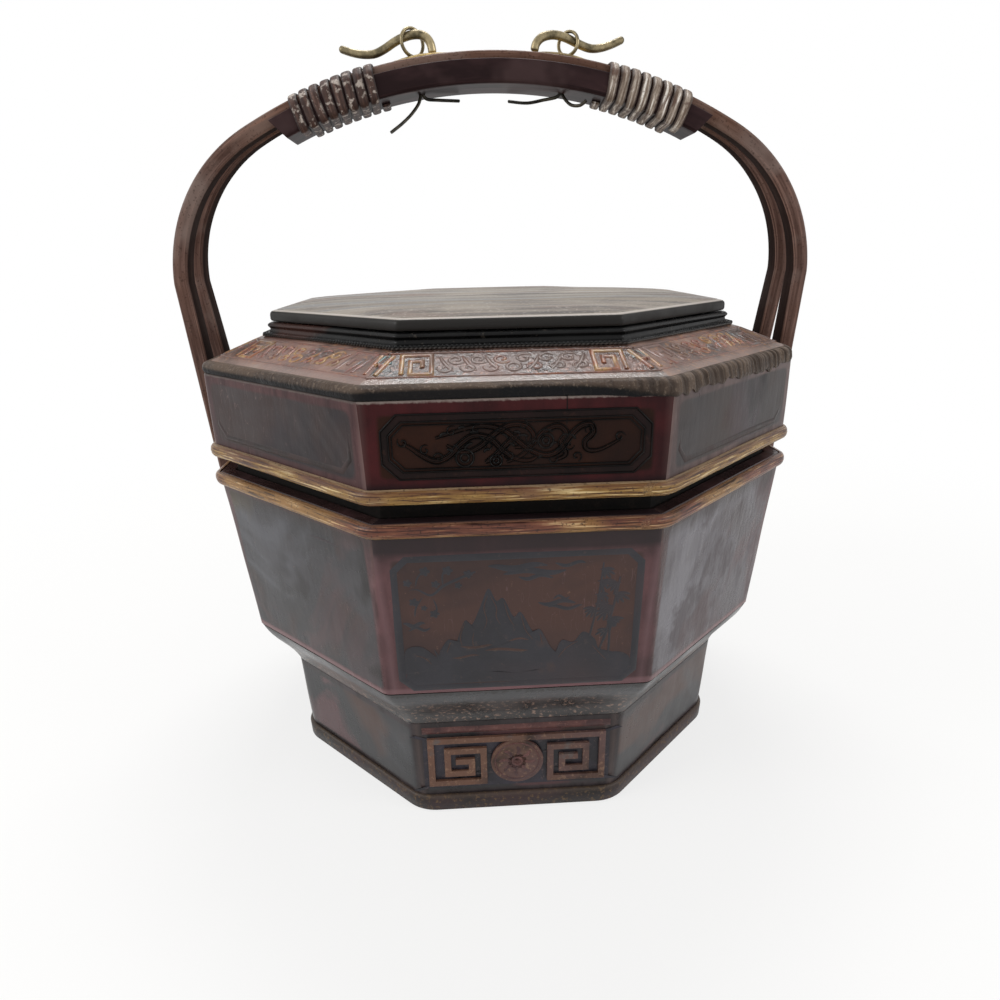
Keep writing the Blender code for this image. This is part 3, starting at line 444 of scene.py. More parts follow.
boardLooks = {
    # rails are the lowest and highest heights of the field, faceArc turns a share of a face into metres;
    # each blotch is a noise, its start and stop, strength and colour; crest is the worn top edge
    "bodyLacquer": {"roughness": 0.24, "level": 0.26, "rails": (0.0795, 0.1500), "faceArc": 0.106,
        "stile": 0.0046, "cutCorner": 0.003, "stileDark": "#3a2324", "stilePale": "#68484a",
        "fieldDark": "#272527", "fieldPale": "#403e41", "flakes": 0.45, "flake": "#6d5a50",
        "scuff": "#86706c", "scratches": 0.5, "streaks": 0.8, "edge": 0.7, "crest": (0.1600, "#000000"),
        "bump": 0.28,
        "blotches": (
        ("drift", 0.52, 0.60, 0.7, "#4a3637"), ("drift", 0.47, 0.34, 0.7, "#56575d"),
        ("broad", 0.45, 0.38, 0.9, "#1c1716"), ("broad", 0.54, 0.62, 0.7, "#372622"),
        # the last blotch is a painted reflection: an olive patch at the upper left
        ("paintedReflectionSpot", 0.292, 0.312, 0.8, "#4c4124")),
        "bands": ((0.1440, 0.1490, 0.6, "#2a201d"), (0.0795, 0.0780, 0.6, "#86686a"))},
    "bodyFrontLacquer": {"roughness": 0.40, "level": 0.26, "rails": (0.0800, 0.1420), "faceArc": 0.106,
        "stile": 0.0052, "cutCorner": 0.003, "stileDark": "#3f2a2c", "stilePale": "#674749",
        "fieldDark": "#2f2425", "fieldPale": "#42302c", "flakes": 0.5, "flake": "#7a5a48", "scuff": "#85686c",
        "scratches": 0.2, "streaks": 0.5, "edge": 0.5, "crest": (0.1600, "#000000"), "bump": 0.22,
        "blotches": (("broad", 0.50, 0.62, 0.7, "#4c352f"), ("drift", 0.46, 0.36, 0.7, "#2f2829")),
        "bands": ((0.1425, 0.1455, 0.85, "#231b1d"), (0.0800, 0.0785, 0.5, "#805f63"))},
    "lidLacquer": {"roughness": 0.34, "level": 0.15, "rails": (0.1745, 0.2010), "faceArc": 0.106,
        "stile": 0.0048, "cutCorner": 0.006, "stileDark": "#2f1c1e", "stilePale": "#543838",
        "fieldDark": "#1f191b", "fieldPale": "#302a2d", "flakes": 0.3, "flake": "#6d5a54", "scuff": "#86706c",
        "scratches": 0.35, "streaks": 0.7, "edge": 0.9, "crest": (0.2047, "#5d5450"), "bump": 0.28,
        "blotches": (
        ("broad", 0.52, 0.60, 0.6, "#3b2b27"), ("drift", 0.52, 0.62, 0.6, "#3b2d33"),
        ("drift", 0.45, 0.34, 0.5, "#433f40"), ("broad", 0.44, 0.36, 0.8, "#161011"))},
    "lidFrontLacquer": {"roughness": 0.38, "level": 0.10, "rails": (0.1762, 0.1996), "faceArc": 0.106,
        "stile": 0.0052, "cutCorner": 0.003, "stileDark": "#230f11", "stilePale": "#451b1d",
        "fieldDark": "#1b0d08", "fieldPale": "#2c160d", "flakes": 0.25, "flake": "#5a3428",
        "scuff": "#4f3c3a", "scratches": 0.25, "streaks": 0.45, "edge": 0.8, "crest": (0.2047, "#8b7f79"),
        "crack": 0.0182, "crackFoot": 0.1935, "bump": 0.22,
        "blotches": (("broad", 0.50, 0.62, 0.6, "#3b1f10"), ("drift", 0.46, 0.38, 0.6, "#160b09")),
        "bands": ((0.1745, 0.1725, 0.7, "#1c1013"),)},
    "footLacquer": {"roughness": 0.30, "level": 0.26, "rails": (0.0110, 0.0470), "faceArc": 0.092,
        "stile": 0.0030, "cutCorner": 0.002, "stileDark": "#241e1e", "stilePale": "#40383a",
        "fieldDark": "#262628", "fieldPale": "#3d3b3c", "flakes": 0.4, "flake": "#6d5550", "scuff": "#6a5a55",
        "scratches": 0.2, "streaks": 0.7, "edge": 0.6, "crest": (0.0520, "#000000"), "bump": 0.24,
        "blotches": (
        ("broad", 0.52, 0.60, 0.8, "#4e3a33"), ("drift", 0.54, 0.60, 0.8, "#583c3e"),
        ("drift", 0.45, 0.34, 0.7, "#46474a"))},
}
# the right-hand side: greyer, with a painted reflection, a pale blue-grey sheen in patches, and painted
# shade, dark red-brown patches for the shadows in its dents; its lacquer has run in ridges
boardLooks["bodyRightLacquerSheenAndShade"] = dict(
    boardLooks["bodyLacquer"], fieldDark="#372c30", fieldPale="#5d5a60", bump=0.6, blotches=(
        ("drift", 0.48, 0.34, 0.7, "#747278"), ("cloud", 0.54, 0.60, 0.7, "#33262a"),
        ("broad", 0.51, 0.58, 0.8, "#402a2c"), ("broad", 0.57, 0.62, 0.7, "#241618"),
        ("drift", 0.55, 0.62, 0.7, "#472c2f")))
boardLooks["lidRightLacquer"] = dict(
    boardLooks["lidLacquer"], stileDark="#3d2f2f", stilePale="#6d5c59", fieldDark="#2a2526", fieldPale="#443d3b")
finish = {name: lacquerBoards(name, look) for name, look in boardLooks.items()}

mottledLooks = {
    "chamferLacquer": {"roughness": 0.30, "scale": 34, "fine": 480, "ground": "#242222", "bump": 0.3,
        "layers": (
        ("broad", 0.42, 0.62, 0.9, "#3f3a39"), ("wide", 0.54, 0.64, 0.6, "#57443f"),
        ("fine", 0.57, 0.62, 0.75, "#94796a"), ("ragged", 0.0712, 0.0730, 0.85, "#38383b"),
        ("ragged", 0.0776, 0.0784, 0.8, "#171210"))},
    "footRimLacquer": {"roughness": 0.46, "scale": 30, "fine": 480, "ground": "#1c1716", "bump": 0.3,
        "level": 0.3, "layers": (
        ("broad", 0.40, 0.60, 1.0, "#37292a"), ("fine", 0.54, 0.66, 0.7, "#6a5338"),
        ("height", 0.0062, 0.0085, 0.5, "#54463a"))},
    "shoulderLacquer": {"roughness": 0.36, "scale": 42, "fine": 430, "ground": "#4a3832", "bump": 0.5,
        "layers": (
        ("broad", 0.40, 0.60, 1.0, "#86685c"), ("fine", 0.55, 0.66, 0.7, "#a5764f"),
        ("wide", 0.50, 0.62, 0.6, "#7a5a52"), ("broad", 0.60, 0.68, 0.7, "#8f7c70"),
        ("height", 0.2122, 0.2112, 0.4, "#8f8078"))},
    "shoulderFrontLacquer": {"roughness": 0.22, "scale": 46, "fine": 430, "ground": "#30211e", "bump": 0.6,
        "level": 0.40, "layers": (
        ("broad", 0.40, 0.58, 1.0, "#664b42"), ("wide", 0.48, 0.58, 0.7, "#3f494b"),
        ("fine", 0.54, 0.64, 0.7, "#a07a6c"), ("wide", 0.60, 0.68, 0.8, "#86543f"),
        # the pale line along the foot of the slope is a painted highlight
        ("height", 0.2150, 0.2185, 0.75, "#40312c"), ("height", 0.2122, 0.2112, 0.6, "#a39a94"))},
    "rimBeadLacquer": {"roughness": 0.44, "scale": 60, "fine": 620, "ground": "#15120f", "bump": 0.8,
        "level": 0.12, "layers": (
        ("lay", 0.34, 0.50, 1.0, "#4a3e36"), ("broad", 0.46, 0.58, 0.6, "#615246"),
        ("wide", 0.54, 0.62, 0.6, "#3a302a"), ("lay", 0.72, 0.98, 0.35, "#7d6d61"),
        # painted shade: darker in the creases, and near black low on the bead for the shadow in the gap over the
        # wall
        ("fine", 0.55, 0.63, 0.5, "#7a6b5e"), ("crease", 0.40, 0.95, 0.7, "#2c231e"),
        ("lay", 0.42, 0.30, 0.95, "#0b0b0e"))},
    "stepLacquer": {"roughness": 0.24, "scale": 26, "fine": 420, "ground": "#0c0c0d", "bump": 0.2,
        "level": 0.16, "layers": (
        ("broad", 0.45, 0.60, 0.8, "#1a1a1a"), ("wide", 0.60, 0.66, 0.8, "#3d241e"),
        ("fine", 0.62, 0.70, 0.5, "#4a443e"), ("height", 0.2206, 0.2202, 0.6, "#6a6460"))},
    "carvedRibbon": {"roughness": 0.40, "scale": 60, "fine": 400, "ground": "#1a0e0a", "bump": 0.2,
        "level": 0.10, "layers": (("broad", 0.45, 0.62, 0.8, "#281610"), ("fine", 0.60, 0.70, 0.5, "#3a2218"))},
    "plainDarkWood": {"roughness": 0.62, "scale": 40, "fine": 300, "ground": "#0a0908", "bump": 0.3,
        "level": 0.12, "layers": (("broad", 0.40, 0.60, 1.0, "#15110f"), ("fine", 0.56, 0.68, 0.5, "#241c18"))},
    "wornGiltFret": {"roughness": 0.46, "scale": 70, "fine": 520, "ground": "#35251f", "bump": 0.4,
        "level": 0.28, "layers": (
        ("broad", 0.38, 0.56, 1.0, "#5d443a"), ("wide", 0.50, 0.60, 0.8, "#5f4846"),
        ("wide", 0.46, 0.38, 0.7, "#6e4f40"), ("fine", 0.56, 0.64, 0.4, "#9a7a62"),
        ("broad", 0.60, 0.68, 0.7, "#5b5857"))},
    "fretBossLacquer": {"roughness": 0.42, "scale": 80, "fine": 420, "ground": "#3c2222", "bump": 0.35,
        "level": 0.35, "layers": (
        ("broad", 0.40, 0.60, 1.0, "#5c3a36"), ("fine", 0.54, 0.66, 0.6, "#74504a"),
        ("wide", 0.56, 0.64, 0.6, "#4a3f42"))},
    "fretRecessLacquer": {"roughness": 0.40, "scale": 60, "fine": 420, "ground": "#1d1a20", "bump": 0.3,
        "level": 0.35, "layers": (("broad", 0.42, 0.60, 0.9, "#34303a"), ("fine", 0.58, 0.68, 0.6, "#5a4a4c"))},
    "blackPanelLine": {"roughness": 0.36, "scale": 60, "fine": 400, "ground": "#0b0a0a", "bump": 0.2,
        "level": 0.10, "layers": (("broad", 0.45, 0.62, 0.8, "#181413"), ("fine", 0.60, 0.70, 0.5, "#2b211d"))},
    "brownPanelLine": {"roughness": 0.38, "scale": 60, "fine": 400, "ground": "#241b1a", "bump": 0.2,
        "level": 0.22, "layers": (("broad", 0.45, 0.62, 0.9, "#382b2a"), ("fine", 0.58, 0.68, 0.4, "#4a3a36"))},
    "lidBandLacquer": {"roughness": 0.38, "scale": 60, "fine": 400, "ground": "#150d0c", "bump": 0.2,
        "level": 0.10, "layers": (("broad", 0.45, 0.62, 0.9, "#201312"), ("fine", 0.58, 0.68, 0.4, "#38221c"))},
    "charcoalPainting": {"roughness": 0.40, "scale": 40, "fine": 380, "ground": "#2e2d31", "bump": 0.15,
        "level": 0.26, "layers": (
        ("broad", 0.42, 0.62, 0.9, "#36353a"), ("fine", 0.60, 0.70, 0.4, "#4a3f3c"),
        ("wide", 0.54, 0.66, 0.6, "#3e3436"), ("broad", 0.60, 0.68, 0.5, "#4a3a35"))},
    "paintingGround": {"roughness": 0.40, "scale": 40, "fine": 380, "ground": "#3e2e2a", "bump": 0.15,
        "level": 0.26, "layers": (("broad", 0.42, 0.62, 0.9, "#4b3833"), ("fine", 0.58, 0.68, 0.4, "#5c4634"))},
    "fadedFlowerRed": {"roughness": 0.36, "scale": 90, "fine": 420, "ground": "#2b2224", "bump": 0.25,
        "layers": (("broad", 0.40, 0.60, 0.9, "#4e3436"), ("fine", 0.56, 0.68, 0.5, "#6a4c4c"))},
    "peggedBamboo": {"roughness": 0.40, "scale": 90, "fine": 500, "ground": "#2c1a15", "bump": 0.3,
        "layers": (("broad", 0.40, 0.60, 1.0, "#452a20"), ("fine", 0.56, 0.68, 0.5, "#7b5a3c"))},
}
finish.update({name: mottledLacquer(name, look) for name, look in mottledLooks.items()})

caneLooks = {
    # fibre scales the length and the place across; the layers are as for the mottled lacquers
    "lidHoopBamboo": {"roughness": 0.36, "fibre": (40, 3.2, 1), "patch": 30, "ground": "#64421f", "bump": 0.6,
        "level": 0.30, "layers": (
        ("fibre", 0.42, 0.56, 1.0, "#97763f"), ("patch", 0.52, 0.62, 0.7, "#6d4c38"),
        ("fibre", 0.56, 0.62, 0.9, "#d3bb8c"), ("across", 0.30, 0.75, 0.55, "#5a2f22"),
        # painted highlight, pale along the top edge, and painted shade, darker along the lower edge
        ("fibre", 0.45, 0.40, 0.9, "#35180e"), ("across", 1.0, 1.3, 0.5, "#b7a183"),
        ("across", -0.8, -1.3, 0.6, "#4a2c1a"), ("speck", 0.60, 0.66, 0.7, "#2c1a12"),
        ("swell", 0.4, 0.9, 0.9, "#2b2018"))},
    "bodyHoopBamboo": {"roughness": 0.34, "fibre": (40, 3.2, 1), "patch": 15, "ground": "#482720",
        "bump": 0.55, "level": 0.28, "layers": (
        ("fibre", 0.43, 0.56, 1.0, "#774835"), ("patch", 0.48, 0.58, 0.8, "#94703f"),
        ("fibre", 0.57, 0.64, 0.85, "#c8a87c"), ("across", -0.3, -0.9, 0.5, "#94723f"),
        ("across", 0.9, 1.3, 0.5, "#94735f"), ("fibre", 0.45, 0.39, 0.9, "#26100c"),
        ("speck", 0.60, 0.66, 0.7, "#24130f"), ("swell", 0.4, 0.9, 0.85, "#241814"))},
    "handleBamboo": {"roughness": 0.34, "fibre": (14, 7, 1), "patch": 22, "ground": "#4a352e", "bump": 0.4,
        "level": 0.10, "dull": ("across", 2.05, 2.20), "layers": (
        ("fibre", 0.40, 0.60, 1.0, "#735950"), ("patch", 0.50, 0.62, 0.8, "#7a6962"),
        ("fibre", 0.57, 0.66, 0.8, "#947264"), ("swell", 0.06, 0.005, 0.3, "#6a4630"),
        ("patch", 0.44, 0.36, 0.6, "#52392f"), ("speck", 0.60, 0.68, 0.5, "#1f100d"),
        # painted shade: the inner face, under the arch, near black
        ("across", 2.05, 2.20, 0.85, "#120a09"))},
    "gripBamboo": {"roughness": 0.36, "fibre": (16, 5, 1), "patch": 26, "ground": "#281d1e", "bump": 0.25,
        "level": 0.03, "layers": (
        ("fibre", 0.42, 0.62, 1.0, "#3a2a2b"), ("patch", 0.52, 0.62, 0.7, "#483838"),
        ("fibre", 0.60, 0.70, 0.6, "#5d4640"))},
    "rightRattan": {"roughness": 0.62, "fibre": (70, 1.6, 1), "patch": 120, "ground": "#665548", "bump": 0.6,
        "level": 0.3, "layers": (
        ("fibre", 0.42, 0.58, 1.0, "#b3a597"), ("patch", 0.54, 0.60, 0.8, "#5a4238"),
        # painted highlights: near-white fibre flecks; painted shade: dark along both edges of each turn, between
        # the turns
        ("fibre", 0.54, 0.64, 0.9, "#f0eae2"), ("across", 0.45, 0.85, 0.9, "#33251f"),
        ("across", -0.45, -0.85, 0.9, "#33251f"), ("speck", 0.58, 0.66, 0.5, "#6e6058"))},
    "leftRattan": {"roughness": 0.58, "fibre": (70, 1.6, 1), "patch": 260, "ground": "#35241f", "bump": 0.6,
        "level": 0.3, "layers": (
        ("fibre", 0.42, 0.62, 1.0, "#563d34"), ("patch", 0.53, 0.60, 0.85, "#b9ada3"),
        # painted shade: dark along both edges of each turn, between the turns
        ("fibre", 0.60, 0.70, 0.6, "#75615a"), ("across", 0.5, 0.95, 0.9, "#1f1412"),
        ("across", -0.5, -0.95, 0.9, "#1f1412"), ("speck", 0.56, 0.62, 0.6, "#33231e"))},
}
finish.update({name: splitCane(name, look) for name, look in caneLooks.items()})


def agedBrass(name, look):
    # Cast and drawn brass gone olive with age: metal with a dull film, bright where it is rubbed.
    rough = look["roughness"]
    material, tree = startMaterial(name, rough, metallic=look["metallic"])
    place = addNode(tree, "TexCoord")["Object"]
    film = addNode(tree, "TexNoise", {"Vector": place, "Scale": 110, "Detail": 4, "Roughness": 0.65})[0]
    paint = overPaint(tree, linear(look["film"]), {"film": film}, [("film", 0.38, 0.62, 1.0, look["bright"])])
    return setSurface(material, paint, (film, 0.2, 0.0003), (film, 0.35, 0.65, rough + 0.15, rough - 0.08))


brassLooks = {
    "agedBrassHook": {"roughness": 0.38, "metallic": 0.8, "film": "#524b38", "bright": "#a29372"},
    "agedBrassPlate": {"roughness": 0.38, "metallic": 0.8, "film": "#6a5836", "bright": "#c8ae72"},
    "greyedPinWire": {"roughness": 0.50, "metallic": 0.6, "film": "#1d1c1a", "bright": "#4a453a"},
}
finish.update({name: agedBrass(name, look) for name, look in brassLooks.items()})

reliefLook = {
    "roughness": 0.34,
    # the colour that each tone of the lay stands for
    "colours": ((0.0, "#61514a"), (0.14, "#6b564d"), (0.30, "#6b4032"), (0.40, "#90593f"), (0.50, "#a28250"),
                (0.60, "#96604f"), (0.70, "#875a50"), (0.92, "#3f5a5c"), (1.0, "#55706e")),
    # worn down to the putty in specks, and gone dull in patches
    "layers": (("fine", 0.56, 0.66, 0.6, "#3a2620"), ("wide", 0.44, 0.58, 0.85, "#665048")),
}


def paintedRelief(name, look):
    # Raised lines of lacquer putty, painted in several colours and worn: paint comes from the lay.
    material, tree = startMaterial(name, look["roughness"])
    lay = addNode(tree, "Attribute", attribute_name="lay")["Vector"]
    place = addNode(tree, "TexCoord")["Object"]
    grains = {"sway": (place, 150, 4, 0.65), "fine": (place, 700, 2), "wide": (place, 38, 3, 0.6)}
    noises = {key: addNode(tree, "TexNoise", dict(zip(noiseSockets, grain)))[0] for key, grain in grains.items()}
    tone = addNode(tree, "SeparateXYZ", (lay,))[2]
    shift = addNode(tree, "Math", (noises["sway"], 0.8, tone), operation="MULTIPLY_ADD")[0]
    ramp = addNode(tree, "ValToRGB", (shift,))
    stops = ramp[0].node.color_ramp.elements
    stops.remove(stops[1])
    for index, (spot, colour) in enumerate(look["colours"]):
        stop = stops[0] if index == 0 else stops.new(spot)
        stop.position, stop.color = spot, linear(colour)
    paint = overPaint(tree, ramp[0], noises, look["layers"])
    return setSurface(material, paint, (noises["fine"], 0.35, 0.0003))


finish["shoulderRelief"] = paintedRelief("shoulderRelief", reliefLook)

topLook = {
    "roughness": 0.40, "level": 0.18, "ground": "#463e38", "jointPlace": 0.0134, "gloss": (0.28, 0.56),
    "bump": 0.30,
    "layers": (
        ("grain", 0.40, 0.60, 1.0, "#766a5e"), ("cloud", 0.46, 0.60, 0.7, "#8a7f71"),
        ("band", 0.54, 0.60, 0.6, "#9c9285"),
        ("cloud", 0.46, 0.38, 0.6, "#6e594d"), ("grain", 0.41, 0.37, 0.75, "#332b27"),
        ("band", 0.40, 0.38, 0.7, "#2a2320"),
        ("speck", 0.58, 0.66, 0.35, "#b4aa9e"), ("height", 0.2316, 0.2310, 0.8, "#beb6ae"),
        ("joint", 0.0022, 0.0008, 0.85, "#221c19"), ("height", 0.2308, 0.2305, 0.97, "#0a0909")),
}


def wornTop(name, look):
    # Brown lacquer on a much used top: rubbed matt in streaks along the grain, pale along its front
    # edge, and still black on the side below it.
    material, tree = startMaterial(name, look["roughness"], look["level"])
    place = addNode(tree, "TexCoord")["Object"]
    long = addNode(tree, "Mapping", {"Vector": place, "Scale": (0.06, 1.0, 1.0)})[0]
    grains = {
        "grain": (long, 210, 5, 0.66), "band": (long, 60, 3, 0.5, 0.4), "cloud": (place, 24, 4),
        "speck": (place, 600, 2),
    }
    noises = {key: addNode(tree, "TexNoise", dict(zip(noiseSockets, grain)))[0] for key, grain in grains.items()}
    _, y, noises["height"] = addNode(tree, "SeparateXYZ", (place,))
    joint = addNode(tree, "Math", (noises["cloud"], 0.002, y), operation="MULTIPLY_ADD")[0]
    joint = addNode(tree, "Math", (joint, look["jointPlace"]), operation="ADD")[0]
    noises["joint"] = addNode(tree, "Math", (joint,), operation="ABSOLUTE")[0]
    paint = overPaint(tree, linear(look["ground"]), noises, look["layers"])
    gloss = (noises["band"], 0.35, 0.65, *look["gloss"])
    return setSurface(material, paint, (noises["grain"], look["bump"], 0.0005), gloss)


finish["wornTopLacquer"] = wornTop("wornTopLacquer", topLook)
print("finishes made:", len(finish))


# Boards, and the few pieces that stay as they are, with their finishes

def dress(node, coat, edge=0.0003):
    # the board's own mesh, welded and its edges eased
    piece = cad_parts[node]
    piece.data.materials.clear()
    piece.data.materials.append(finish[coat])
    weld = piece.modifiers.new("weld", "WELD")
    weld.merge_threshold = 0.00001
    bevel = piece.modifiers.new("ease", "BEVEL")
    bevel.width, bevel.segments, bevel.limit_method = edge, 2, "ANGLE"
    bevel.angle_limit = math.radians(20)
    bevel.use_clamp_overlap = True


boards = {
    # wall, corner radius at foot and top, easing of the long edges, which body, and the lacquer of its sides
    "foot": {"wall": 0.0070, "radius": (0.0140, 0.0060), "ease": 0.0006,
             "body": "basket", "coat": "footLacquer", "coats": {}},
    "body": {"wall": 0.0075, "radius": (0.0055, 0.0035), "ease": 0.0009,
             "body": "basket", "coat": "bodyLacquer",
             "coats": {"front": "bodyFrontLacquer", "front_right": "bodyRightLacquerSheenAndShade"}},
    "lid": {"wall": 0.0070, "radius": (0.0035, 0.0050), "ease": 0.0004,
            "body": "lid", "coat": "lidLacquer",
            "coats": {"front": "lidFrontLacquer", "front_right": "lidRightLacquer", "right": "lidRightLacquer"}},
}


def boardPiece(name, side, rows, radii, coat, body):
    # One board of an octagon: of each level's loop, the run from one mitre's middle to the next.
    flat, arc = 30, 9
    first = ((sideNames.index(side) - 1) % 8) * (flat + arc) + (arc - 1) // 2
    run = (first + np.arange(flat + arc + 1)) % (8 * (flat + arc))
    grid = np.array([octagonLoop(level, radius, flat, arc)[run] for level, radius in zip(rows, radii)])
    # the lacquer is a little wavy, by less than a tenth of a millimetre
    x, y, z = grid[..., 0], grid[..., 1], grid[..., 2]
    wave = 0.00006 * (np.sin(x * 97 + z * 41) + np.sin(y * 113 - z * 67 + 1) + np.sin(z * 150 + x * 31 - y * 23))
    out = grid * (1, 1, 0)
    grid = grid + unit(out) * wave[..., None]
    makePiece(name, [{"grid": grid.transpose(1, 0, 2)}], coat, body, 35)


def makeBoards(group):
    # up the outside, over the eased top edge, down the inside and back under
    look = boards[group]
    low, high, ease, wall = levels[f"{group}Low"], levels[f"{group}High"], look["ease"], look["wall"]
    tall = high[2] - low[2]
    shares = np.concatenate(((0,), np.linspace(ease / tall, 1 - ease / tall, 20), (1,)))
    insets = np.concatenate(((ease,), np.zeros(20), (ease,)))
    shares = np.concatenate((shares, (1, 1 - ease / tall, ease / tall, 0)))
    insets = np.concatenate((insets, (wall - ease, wall, wall, wall - ease)))
    radius = look["radius"][0] + (look["radius"][1] - look["radius"][0]) * shares
    radius = np.where(insets > wall / 2, 0.0006, radius)
    rows = [inward(low + (high - low) * share, inset) for share, inset in zip(shares, insets)]
    for side in sideNames:
        coat = look["coats"].get(side, look["coat"])
        boardPiece(f"{group}_board_{side}", side, rows, radius, coat, look["body"])


for group in boards:
    makeBoards(group)

shoulder = {"under": 0.0080, "thickness": 0.0040, "outerRadius": 0.0070, "innerRadius": 0.0030}


def makeShoulder():
    # up the slope's outside, in under the step, and back along the underside
    low, high = levels["shoulderLow"], levels["shoulderHigh"]
    rows = [low + (high - low) * share for share in np.linspace(0, 1, 12)]
    inner, down = inward(high, shoulder["under"]), (0, 0, shoulder["thickness"])
    rows += [inner, inner - down, low - down]
    radii = [shoulder["outerRadius"]] * 12 + [shoulder["innerRadius"]] * 3
    for side in sideNames:
        coat = "shoulderFrontLacquer" if side == "front" else "shoulderLacquer"
        boardPiece(f"shoulder_board_{side}", side, rows, radii, coat, "lid")


makeShoulder()

mouldings = {
    # proud of the foot and height, from the inner foot round the outside: the band round the ground edge
    "rim": (
        (0.0001, 0.0), (0.0014, 0.0), (0.0020, 0.0006), (0.0020, 0.0070), (0.0016, 0.0080), (0.0008, 0.0085),
        (0.0001, 0.0085)),
    "rimRadius": 0.0190, "chamferCurve": 0.0008, "chamferRadius": (0.0090, 0.0055), "ledge": 0.0140,
}


def makeMouldings():
    # the rim, and the chamfer: foot to body with an easy s-curve, offset -sin(2 pi share)
    low, high = levels["footLow"], levels["footHigh"]
    rows = []
    for proud, height in mouldings["rim"]:
        radius = mouldings["rimRadius"] if proud > 0.0005 else boards["foot"]["radius"][0]
        rows.append(octagonLoop(inward(levelAt(low, high, height), -proud), radius, 20, 13))
    shell = {"grid": np.array(rows), "ring": True}
    makePiece("foot_rim", [shell], "footRimLacquer", "basket", 50)
    base = levels["bodyLow"]
    rows = [octagonLoop(inward(high, 0.0100), 0.0006, 20, 9)]
    for share in np.linspace(0, 1, 12):
        curve = mouldings["chamferCurve"] * math.sin(2 * math.pi * share)
        level = inward(high + (base - high) * share, 0.0004 * share + curve)
        radius = np.interp(share, (0, 1), mouldings["chamferRadius"])
        rows.append(octagonLoop(level, radius, 20, 9))
    rows.append(octagonLoop(inward(base, mouldings["ledge"]), 0.0006, 20, 9))
    shell = {"grid": np.array(rows), "ring": True}
    makePiece("base_moulding", [shell], "chamferLacquer", "basket", 40)


makeMouldings()
for node, coat in (
    ("floor_board", "bodyLacquer"), ("inner_collar", "plainDarkWood"), ("lid_batten", "plainDarkWood"),
    ("foot_fret_front", "wornGiltFret"), ("foot_fret_back", "wornGiltFret"),
    ("leg_peg_front_left", "peggedBamboo"), ("leg_peg_front_right", "peggedBamboo"),
    ("leg_peg_back_left", "peggedBamboo"), ("leg_peg_back_right", "peggedBamboo"),
):
    dress(node, coat)
print("boards laid")


# Split bamboo hoops

hoop = {"height": 0.0060, "proud": 0.0034, "cornerRadius": 0.0020, "bendRadius": 0.0180, "fibres": 7,
        "fibreDepth": 0.00012, "sway": 0.00022, "nodes": (0.31, 0.74), "nodeRise": 0.0004, "nodeWidth": 0.0016}


def makeHoop(name, low, high, coat, body, seed):
    # A half round carried round the octagon: height low + (1 + sin a)/2, proud of the wall by cos a,
    # with fibre ridges cos(14 a) and a swollen ring where the cane had a node.
    turn = np.linspace(-np.pi / 2, np.pi / 2, 22)
    rows = []
    for angle in turn:
        height = low[2] + (high[2] - low[2]) * (1 + math.sin(angle)) / 2
        proud = 0.0001 + (hoop["proud"] - 0.0001) * math.cos(angle)
        radius = hoop["cornerRadius"] + (hoop["bendRadius"] - hoop["cornerRadius"]) * math.cos(angle)
        rows.append(octagonLoop(inward(levelAt(low, high, height), -proud), radius, 26, 12))
    grid = np.array(rows)
    where, length = runLength(grid[len(turn) // 2])
    out = loopNormals(grid[len(turn) // 2])[None]
    size = np.cos(turn)[:, None, None]
    ridges = hoop["fibreDepth"] * np.cos(2 * hoop["fibres"] * turn)[:, None, None] * size
    sway = hoop["sway"] * ripple(where, length, 30, seed)[None, :, None] * size
    swell = sum(np.exp(-((where / length - spot) * length / hoop["nodeWidth"]) ** 2) for spot in hoop["nodes"])
    grid = grid + out * (ridges + sway + hoop["nodeRise"] * swell[None, :, None] * size)
    lay = together(where[None, :], turn[:, None], swell[None, :])
    back = grid[[-1, 0]] - out * 0.0002
    grid = np.concatenate((grid, back))
    lay = np.concatenate((lay, lay[[-1, 0]]))
    makePiece(name, [{"grid": grid, "ring": True, "lay": lay}], coat, body, 60)


lidLow, bodyHigh = levels["lidLow"], levels["bodyHigh"]
makeHoop("lid_hoop", lidLow, lidLow + (0, 0, hoop["height"]), "lidHoopBamboo", "lid", 3)
makeHoop("body_hoop", levelAt(levels["bodyLow"], bodyHigh, bodyHigh[2] - hoop["height"]), bodyHigh,
         "bodyHoopBamboo", "basket", 8)
print("hoops bent")


# Rolled bead on the lid's wall

bead = {
    # pleats are the most of them round the lid and a seed, coarse and fine
    "proud": 0.0012, "cornerRadius": 0.0070, "pleat": 0.0018, "pleats": ((320, 21), (640, 22)), "hem": 0.0030,
    "foot": 0.2062,
}


